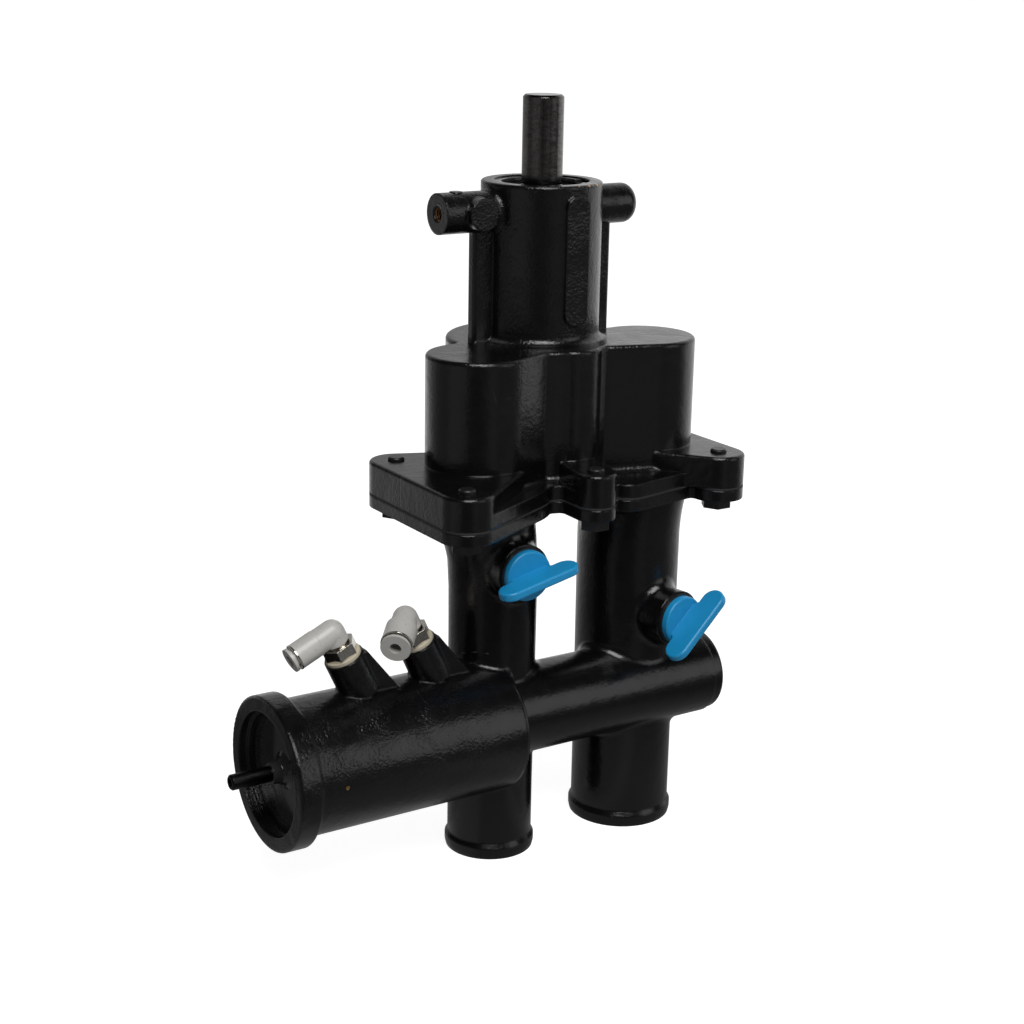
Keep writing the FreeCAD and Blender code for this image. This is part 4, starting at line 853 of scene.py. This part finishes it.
class Workshop:
    """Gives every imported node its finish, and every added piece its place, body and finish.

    Attributes:
        smooth_deg: Edges of added pieces that turn by less are shaded smooth.
    """

    smooth_deg: float = 40.0

    def __init__(self, frame: dict) -> None:
        """Make every finish.
        """
        self.frame = frame
        effects = Effects()
        self.materials = {finish.slot: finish.material(effects) for finish in FINISHES}
        made = {finish: finish.material(effects) for finish in dict.fromkeys(NODE_FINISHES.values())}
        self.special = {name: made[finish] for name, finish in NODE_FINISHES.items()}

    def dress_nodes(self) -> None:
        """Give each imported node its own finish, or else the finish of its slot."""
        slots = {part["node"]: part["material_slot"] for part in self.frame["record"]["subparts"]}
        for name, node in self.frame["nodes"].items():
            material = self.special.get(name, self.materials[Slot(slots[name])])
            node.data.materials.clear()
            node.data.materials.append(material)
            LOG.info("%s takes %s", name, material.name)

    def mouth(self, name: str) -> tuple[Vector, Vector, float]:
        """Look up a round mount's mouth.

        Args:
            name: The mount's name.

        Returns:
            The middle of its mouth, its axis and its radius.
        """
        row = next(m for m in self.frame["record"]["mounts"] if m["name"] == name)
        axis = Vector(row["axis"]).normalized()
        half = 0.5 * row["dims"]["length_mm"] * MM
        return Vector(row["pos_m"]) + axis * half, axis, row["dims"]["r_mm"] * MM

    def piece(self, name: str, mesh: bpy.types.Mesh, body: Body, slot: Slot) -> None:
        """Put a mesh in the scene as a piece.

        Args:
            name: The piece's name.
            mesh: Its mesh, in the frame.
            body: The body that it rides on.
            slot: The finish that it takes.
        """
        mesh.shade_smooth()
        mesh.set_sharp_from_angle(angle=math.radians(self.smooth_deg))
        mesh.materials.append(self.materials[slot])
        made = bpy.data.objects.new(name, mesh)
        bpy.context.scene.collection.objects.link(made)
        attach(made, body.value)
        LOG.info("%s rides on %s", name, body.value)


def facing(origin: Vector, axis: Vector) -> Matrix:
    """Give the matrix that takes the Z axis to an axis at an origin."""
    turn = Vector((0.0, 0.0, 1.0)).rotation_difference(axis).to_matrix().to_4x4()
    return Matrix.Translation(origin) @ turn


def turned(section: tuple[Pair, ...], angle: float, place: Matrix) -> list[Vector]:
    """Give the points of a section that is turned about its axis.

    Args:
        section: Radius and height of each corner.
        angle: How far it is turned, in radians.
        place: The matrix that takes the Z axis to the section's axis.

    Returns:
        The points, in the frame.
    """
    across, aside = math.cos(angle), math.sin(angle)
    return [place @ Vector((r * across, r * aside, z)) for r, z in section]


def grid_mesh(name: str, rows: list[list[Vector]], closed: bool) -> bpy.types.Mesh:
    """Make a mesh from rows of points.

    Args:
        name: The mesh's name.
        rows: Rows with as many points each; each row is a closed loop.
        closed: Whether the last row joins the first. Otherwise both ends are capped.

    Returns:
        The mesh.
    """
    shape = bmesh.new()
    made = [[shape.verts.new(p) for p in row] for row in rows]
    count = len(made)
    wide = len(made[0])
    for i in range(count if closed else count - 1):
        here, there = made[i], made[(i + 1) % count]
        for j in range(wide):
            k = (j + 1) % wide
            shape.faces.new((here[j], here[k], there[k], there[j]))
    if not closed:
        shape.faces.new(list(reversed(made[0])))
        shape.faces.new(made[-1])
    bmesh.ops.recalc_face_normals(shape, faces=shape.faces)
    mesh = bpy.data.meshes.new(name)
    shape.to_mesh(mesh)
    shape.free()
    return mesh


@dataclass(frozen=True)
class BracketThreads:
    """The cut threads in the two bracket bosses' holes, as a bare bronze ridge that winds inwards.

    Attributes:
        pitch: How far the ridge goes in one turn.
        depth: How far its crest stands in from the hole's wall.
        bite: How far its foot sits in the wall.
        foot: Half the width of its foot, as a share of the pitch.
        crest: The width of its crest, as a share of its foot's.
        turns: How many turns it has.
        steps: How many steps a turn has.
    """

    pitch: float = 0.001
    depth: float = 0.00045
    bite: float = 0.0001
    foot: float = 0.46
    crest: float = 0.1
    turns: int = 9
    steps: int = 40

    def build(self, shop: Workshop) -> None:
        """Cut a thread in each boss.

        Args:
            shop: The workshop that places the pieces.
        """
        for side in ("left", "right"):
            mouth, axis, radius = shop.mouth(f"{side}_bracket_hole")
            mesh = self.ridge(f"{side}_bracket_thread", mouth, -axis, radius)
            shop.piece(mesh.name, mesh, Body.ROOT, Slot.BRONZE)

    def ridge(self, name: str, start: Vector, way: Vector, radius: float) -> bpy.types.Mesh:
        """Make one helical ridge that runs inwards.

        Args:
            name: The mesh's name.
            start: The middle of the hole at its mouth.
            way: The way into the hole.
            radius: The hole's radius.

        Returns:
            The ridge's mesh.
        """
        place = facing(start, way)
        half = self.foot * self.pitch
        rows = []
        for i in range(self.turns * self.steps + 1):
            middle = self.pitch * i / self.steps + half
            section = (
                (radius + self.bite, middle - half),
                (radius - self.depth, middle - self.crest * half),
                (radius - self.depth, middle + self.crest * half),
                (radius + self.bite, middle + half),
            )
            rows.append(turned(section, 2.0 * math.pi * i / self.steps, place))
        return grid_mesh(name, rows, closed=False)


@dataclass(frozen=True)
class Ring:
    """A thin ring with a softened rim.

    Attributes:
        bore: Its bore's radius.
        rim: Its rim's radius.
        low: Where it starts along its axis.
        high: Where it ends along its axis.
        softness: How much of its thickness each soft corner takes.
        steps: How many steps the full turn has.
    """

    bore: float
    rim: float
    low: float
    high: float
    softness: float = 0.25
    steps: int = 96

    def mesh(self, name: str, place: Matrix) -> bpy.types.Mesh:
        """Turn the ring.

        Args:
            name: The mesh's name.
            place: The matrix that takes the Z axis to the ring's own.

        Returns:
            The ring's mesh.
        """
        soft = self.softness * (self.high - self.low)
        section = (
            (self.bore, self.low),
            (self.rim - soft, self.low),
            (self.rim, self.low + soft),
            (self.rim, self.high - soft),
            (self.rim - soft, self.high),
            (self.bore, self.high),
        )
        angles = [2.0 * math.pi * i / self.steps for i in range(self.steps)]
        return grid_mesh(name, [turned(section, angle, place) for angle in angles], closed=True)


@dataclass(frozen=True)
class Fitting:
    """One air fitting: its side, the body that its elbow turns with and its elbow's mouth radius."""

    side: str
    body: Body
    mouth_radius: float


@dataclass(frozen=True)
class FittingTrim:
    """The bright collars round the elbows' mouths and the washers under the elbows.

    Attributes:
        fittings: The two fittings.
        washer: The washer, from the port's face upwards.
        elbow_rise: How high the elbow's middle stands above the port's face.
        elbow_length: How far the elbow's mouth is from its middle.
        collar_bore: The radius of a collar's bore.
        collar_stand: How far a collar's rim stands out of the elbow's mouth.
        collar_run: Where a collar starts and ends, from the elbow's mouth outwards.
    """

    fittings: tuple[Fitting, ...] = (
        Fitting("outer", Body.OUTER_SWIVEL, 0.0048),
        Fitting("inner", Body.INNER_SWIVEL, 0.0057),
    )
    washer: Ring = Ring(0.0033, 0.0044, 0.00585, 0.00675)
    elbow_rise: float = 0.0107
    elbow_length: float = 0.0158
    collar_bore: float = 0.0036
    collar_stand: float = 0.00008
    collar_run: Pair = (-0.0007, 0.00004)

    def build(self, shop: Workshop) -> None:
        """Seat a collar and a washer on each elbow.

        Args:
            shop: The workshop that places the pieces.
        """
        joints = {joint["name"]: joint for joint in shop.frame["joints"]}
        for fitting in self.fittings:
            swivel = joints[f"{fitting.side}_elbow_swivel"]
            middle, up = Vector(swivel["pos_m"]), Vector(swivel["axis"]).normalized()
            arm = shop.mouth(f"{fitting.side}_air_port")[1]
            collar = Ring(self.collar_bore, fitting.mouth_radius + self.collar_stand, *self.collar_run)
            mouth = facing(middle + arm * self.elbow_length, arm)
            face = facing(middle - up * self.elbow_rise, up)
            for kind, ring, place in (("collar", collar, mouth), ("washer", self.washer, face)):
                mesh = ring.mesh(f"{fitting.side}_elbow_{kind}", place)
                shop.piece(mesh.name, mesh, fitting.body, Slot.FITTING_NICKEL)


@dataclass(frozen=True)
class PhotoView:
    """The photograph's camera, fitted to the pump's circles and levels.

    Attributes:
        heading_deg: The way that it looks, turned from the X axis towards the Y axis.
        dip_deg: How far it looks down.
        roll_deg: How far it is rolled.
        focal_px: Its focal length in the photograph's pixels.
        frame_px: The photograph's width in pixels.
        sensor_mm: The width of the camera's sensor.
        spot: Where it stands.
        clip: The nearest and the farthest distance that it sees.
    """

    heading_deg: float = 57.001
    dip_deg: float = 16.402
    roll_deg: float = 1.079
    focal_px: float = 1892.478
    frame_px: float = 1024.0
    sensor_mm: float = 36.0
    spot: Triple = (-0.385861, -0.578381, 0.078294)
    clip: Pair = (0.01, 50.0)

    def axes(self) -> tuple[Vector, Vector, Vector]:
        """Work out how the camera stands.

        Returns:
            Its right, up and forward directions.
        """
        heading, dip, roll = (math.radians(a) for a in (self.heading_deg, self.dip_deg, self.roll_deg))
        forward = Vector(
            (math.cos(heading) * math.cos(dip), math.sin(heading) * math.cos(dip), -math.sin(dip))
        )
        level = Vector((math.sin(heading), -math.cos(heading), 0.0))
        upward = level.cross(forward)
        right = math.cos(roll) * level + math.sin(roll) * upward
        up = -math.sin(roll) * level + math.cos(roll) * upward
        return right, up, forward

    def direction(self, bearing_deg: float, rise_deg: float) -> Vector:
        """Give the direction at a bearing and a rise.

        Args:
            bearing_deg: Degrees from the side that faces the camera, towards the right.
            rise_deg: Degrees above the level.

        Returns:
            The direction.
        """
        bearing, rise = math.radians(bearing_deg), math.radians(rise_deg)
        heading = math.radians(self.heading_deg)
        near = Vector((-math.cos(heading), -math.sin(heading), 0.0))
        right = Vector((math.sin(heading), -math.cos(heading), 0.0))
        level = near * math.cos(bearing) + right * math.sin(bearing)
        return level * math.cos(rise) + Vector((0.0, 0.0, math.sin(rise)))

    def build(self) -> None:
        """Set up the camera."""
        right, up, forward = self.axes()
        lens = bpy.data.cameras.new("photo_view")
        lens.sensor_width = self.sensor_mm
        lens.lens = self.sensor_mm * self.focal_px / self.frame_px
        lens.clip_start, lens.clip_end = self.clip
        made = bpy.data.objects.new("photo_view", lens)
        turn = Matrix((right, up, -forward)).transposed().to_4x4()
        made.matrix_world = Matrix.Translation(self.spot) @ turn
        bpy.context.scene.collection.objects.link(made)
        bpy.context.scene.camera = made


@dataclass(frozen=True)
class Panel:
    """A soft-edged patch of light, given in degrees of bearing and rise round the pump.

    Attributes:
        bearing: Where its middle is, from the side that faces the camera towards the right.
        rise: How high its middle is.
        half_width: Half its width.
        half_height: Half its height.
        soft: How far it fades out.
        level: How bright it is.
    """

    bearing: float
    rise: float
    half_width: float
    half_height: float
    soft: float
    level: float

    def light(self, graph: Graph, bearing: Value, rise: Value) -> Socket:
        """Work out the panel's light.

        Args:
            graph: The tree of the world or of a material.
            bearing: The bearing, a socket.
            rise: The rise, a number or a socket.

        Returns:
            How bright the panel is there.
        """
        across = graph.math("ABSOLUTE", graph.math("SUBTRACT", bearing, self.bearing))
        upward = graph.math("ABSOLUTE", graph.math("SUBTRACT", rise, self.rise))
        wide = graph.ramp(across, self.half_width + self.soft, self.half_width)
        high = graph.ramp(upward, self.half_height + self.soft, self.half_height)
        return graph.math("MULTIPLY", graph.math("MULTIPLY", wide, high), self.level)


@dataclass(frozen=True)
class Surroundings:
    """The world: white to the camera, and light behind the pump and dim in front to other rays.

    Attributes:
        view: The camera, whose heading the bearings are counted from.
        front_level: How bright the front is.
        back_level: How bright the back is.
        right_edge: The bearings between which front turns to back on the right.
        left_edge: The same on the left.
        left_share: How much of the back's light the left side has.
        ceiling: The rises between which the light falls off overhead.
        ceiling_share: What is left of it overhead.
        panels: Soft lights that stand in the surroundings.
    """

    view: PhotoView
    front_level: float = 0.035
    back_level: float = 0.82
    right_edge: Pair = (98.0, 124.0)
    left_edge: Pair = (112.0, 165.0)
    left_share: float = 0.55
    ceiling: Pair = (34.0, 58.0)
    ceiling_share: float = 0.06
    panels: tuple[Panel, ...] = (Panel(66.0, 14.0, 9.0, 14.0, 12.0, 1.1),)

    def build(self) -> None:
        """Set up the world."""
        world = bpy.data.worlds.new("studio_surround")
        world.use_nodes = True
        world.node_tree.nodes.clear()
        graph = Graph(world.node_tree)
        seen = graph.add("ShaderNodeBackground")
        felt = graph.add("ShaderNodeBackground")
        for background in (seen, felt):
            background.inputs["Color"].default_value = WHITE
        graph.join(self.level(graph), felt.inputs["Strength"])
        mix = graph.add("ShaderNodeMixShader")
        graph.join(graph.add("ShaderNodeLightPath").outputs["Is Camera Ray"], mix.inputs[0])
        graph.join(felt.outputs[0], mix.inputs[1])
        graph.join(seen.outputs[0], mix.inputs[2])
        graph.join(mix.outputs[0], graph.add("ShaderNodeOutputWorld").inputs["Surface"])
        bpy.context.scene.world = world

    def level(self, graph: Graph) -> Socket:
        """Work out how bright the surroundings are in each direction.

        Args:
            graph: The world's tree.

        Returns:
            The level's socket.
        """
        way = graph.add("ShaderNodeTexCoord").outputs["Generated"]
        near = graph.dot(way, self.view.direction(0.0, 0.0))
        right = graph.dot(way, self.view.direction(90.0, 0.0))
        bearing = graph.bearing(right, near)
        rise = graph.math("DEGREES", graph.math("ARCSINE", graph.dot(way, (0.0, 0.0, 1.0))))
        behind_right = graph.ramp(bearing, *self.right_edge)
        leftward = graph.math("MULTIPLY", bearing, -1.0)
        behind_left = graph.math("MULTIPLY", graph.ramp(leftward, *self.left_edge), self.left_share)
        behind = graph.math("ADD", behind_right, behind_left, clamp=True)
        level = graph.spread(behind, self.front_level, self.back_level)
        overhead = graph.spread(graph.ramp(rise, *self.ceiling), 1.0, self.ceiling_share)
        level = graph.math("MULTIPLY", level, overhead)
        for panel in self.panels:
            level = graph.math("ADD", level, panel.light(graph, bearing, rise))
        return level


@dataclass(frozen=True)
class KeyLamp:
    """The one lamp: a square softbox above the camera that faces the pump.

    Attributes:
        view: The camera, whose heading the bearing is counted from.
        bearing: Its bearing in degrees.
        rise: How high it hangs, in degrees.
        distance: How far it is from what it faces.
        size: The length of its sides.
        watts: Its power.
        aim: The point of the pump that it faces.
    """

    view: PhotoView
    bearing: float = 12.0
    rise: float = 52.0
    distance: float = 1.5
    size: float = 0.9
    watts: float = 20.0
    aim: Triple = (-0.03, 0.0, -0.11)

    def build(self) -> None:
        """Hang the lamp."""
        lamp = bpy.data.lights.new("key_softbox", "AREA")
        lamp.size = self.size
        lamp.energy = self.watts
        made = bpy.data.objects.new("key_softbox", lamp)
        way = self.view.direction(self.bearing, self.rise)
        made.location = Vector(self.aim) + way * self.distance
        made.rotation_mode = "QUATERNION"
        made.rotation_quaternion = way.to_track_quat("Z", "Y")
        bpy.context.scene.collection.objects.link(made)


@dataclass(frozen=True)
class Glow:
    """A part of the floor's light: how bright it is, and where it fades in along a distance."""

    level: float
    run: Pair

    def light(self, graph: Graph, distance: Value) -> Socket:
        """Give how bright it is at each distance, which is negative the other way."""
        return graph.math("MULTIPLY", graph.ramp(distance, *self.run), self.level)


@dataclass(frozen=True)
class PaleFloor:
    """The floor that the pump stands on: white to the camera, and mostly dim to reflections.

    Attributes:
        view: The camera, whose heading the floor's light is counted from.
        height: The floor's height.
        size: The length of its sides.
        paint: The colour that takes the lamp's light and the pump's shadow.
        under: The point of the floor below the pump, as seen from above.
        seen_run: How far from that point the floor turns to plain white for the camera.
        seen_level: How bright it is right under the pump.
        front_level: How bright reflections find it in front.
        back_level: How bright they find it behind.
        back_run: How far behind the pump the floor turns bright.
        corner_run: How far to the left its back dims again.
        corner_share: What is left of it there.
        right: The light to the right of the pump.
        left: The light to the left.
        close: The light round the pump's feet.
        bands: Soft bands of light that run away from the feet.
    """

    view: PhotoView
    height: float
    size: float = 24.0
    paint: Triple = (0.42, 0.42, 0.42)
    under: Pair = (-0.03, -0.02)
    seen_run: Pair = (0.15, 0.6)
    seen_level: float = 0.92
    front_level: float = 0.05
    back_level: float = 0.9
    back_run: Pair = (-0.05, 0.5)
    corner_run: Pair = (-0.35, -0.85)
    corner_share: float = 0.25
    right: Glow = Glow(0.08, (0.02, 0.4))
    left: Glow = Glow(0.12, (-0.2, -0.45))
    close: Glow = Glow(0.15, (0.22, 0.08))
    bands: tuple[Panel, ...] = (
        Panel(-42.0, 0.0, 16.0, 90.0, 6.0, 0.10),
        Panel(30.0, 0.0, 7.0, 90.0, 5.0, 0.07),
    )

    def build(self) -> None:
        """Lay the floor."""
        half = 0.5 * self.size
        corners = [(-half, -half), (half, -half), (half, half), (-half, half)]
        mesh = bpy.data.meshes.new("studio_floor")
        mesh.from_pydata([(x, y, self.height) for x, y in corners], [], [(0, 1, 2, 3)])
        made = bpy.data.objects.new("studio_floor", mesh)
        bpy.context.scene.collection.objects.link(made)
        mesh.materials.append(self.material())
        made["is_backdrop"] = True

    def material(self) -> bpy.types.Material:
        """Make the floor's material: a paint, and a light that only some rays see.

        Returns:
            The material.
        """
        made = bpy.data.materials.new("studio_floor_paint")
        made.use_nodes = True
        made.node_tree.nodes.clear()
        graph = Graph(made.node_tree)
        place = graph.place()
        far = graph.distance(place, (*self.under, self.height))
        rays = graph.add("ShaderNodeLightPath").outputs
        sharp = graph.math("MAXIMUM", rays["Is Glossy Ray"], rays["Is Transmission Ray"])
        seen = graph.spread(graph.ramp(far, *self.seen_run), self.seen_level, 1.0)
        mirrored = graph.math("MULTIPLY", sharp, self.mirrored(graph, place, far))
        level = graph.math("ADD", mirrored, graph.math("MULTIPLY", rays["Is Camera Ray"], seen))
        glow = graph.add("ShaderNodeEmission")
        graph.join(level, glow.inputs["Strength"])
        paint = graph.add("ShaderNodeBsdfDiffuse")
        paint.inputs["Color"].default_value = tint(self.paint)
        # Reflections find the light alone: the empty input takes the paint away from them.
        dull = graph.add("ShaderNodeMixShader")
        graph.join(sharp, dull.inputs[0])
        graph.join(paint.outputs[0], dull.inputs[1])
        total = graph.add("ShaderNodeAddShader")
        graph.join(dull.outputs[0], total.inputs[0])
        graph.join(glow.outputs[0], total.inputs[1])
        graph.join(total.outputs[0], graph.add("ShaderNodeOutputMaterial").inputs["Surface"])
        return made

    def mirrored(self, graph: Graph, place: Socket, far: Socket) -> Socket:
        """Work out how bright reflections find the floor.

        Args:
            graph: The material's tree.
            place: The floor's coordinates.
            far: The distance from the point below the pump.

        Returns:
            The level's socket.
        """
        away = graph.dot(place, -self.view.direction(0.0, 0.0))
        aside = graph.dot(place, self.view.direction(90.0, 0.0))
        bearing = graph.bearing(aside, graph.math("MULTIPLY", away, -1.0))
        corner = graph.spread(graph.ramp(aside, *self.corner_run), 1.0, self.corner_share)
        back = graph.math("MULTIPLY", graph.ramp(away, *self.back_run), corner)
        level = graph.spread(back, self.front_level, self.back_level)
        lights = [
            self.right.light(graph, aside),
            self.left.light(graph, aside),
            self.close.light(graph, far),
            *(band.light(graph, bearing, 0.0) for band in self.bands),
        ]
        for light in lights:
            level = graph.math("ADD", level, light)
        return level


def main() -> None:
    """Build the dressed pump, its studio and its camera."""
    logging.basicConfig(level=logging.INFO, format="%(message)s")
    bpy.ops.wm.read_factory_settings(use_empty=True)
    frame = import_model()
    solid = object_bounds()
    shop = Workshop(frame)
    shop.dress_nodes()
    BracketThreads().build(shop)
    FittingTrim().build(shop)
    view = PhotoView()
    view.build()
    bpy.context.scene.view_settings.view_transform = "Standard"
    Surroundings(view).build()
    KeyLamp(view).build()
    PaleFloor(view, solid[0].z).build()


if __name__ == "__main__":
    main()
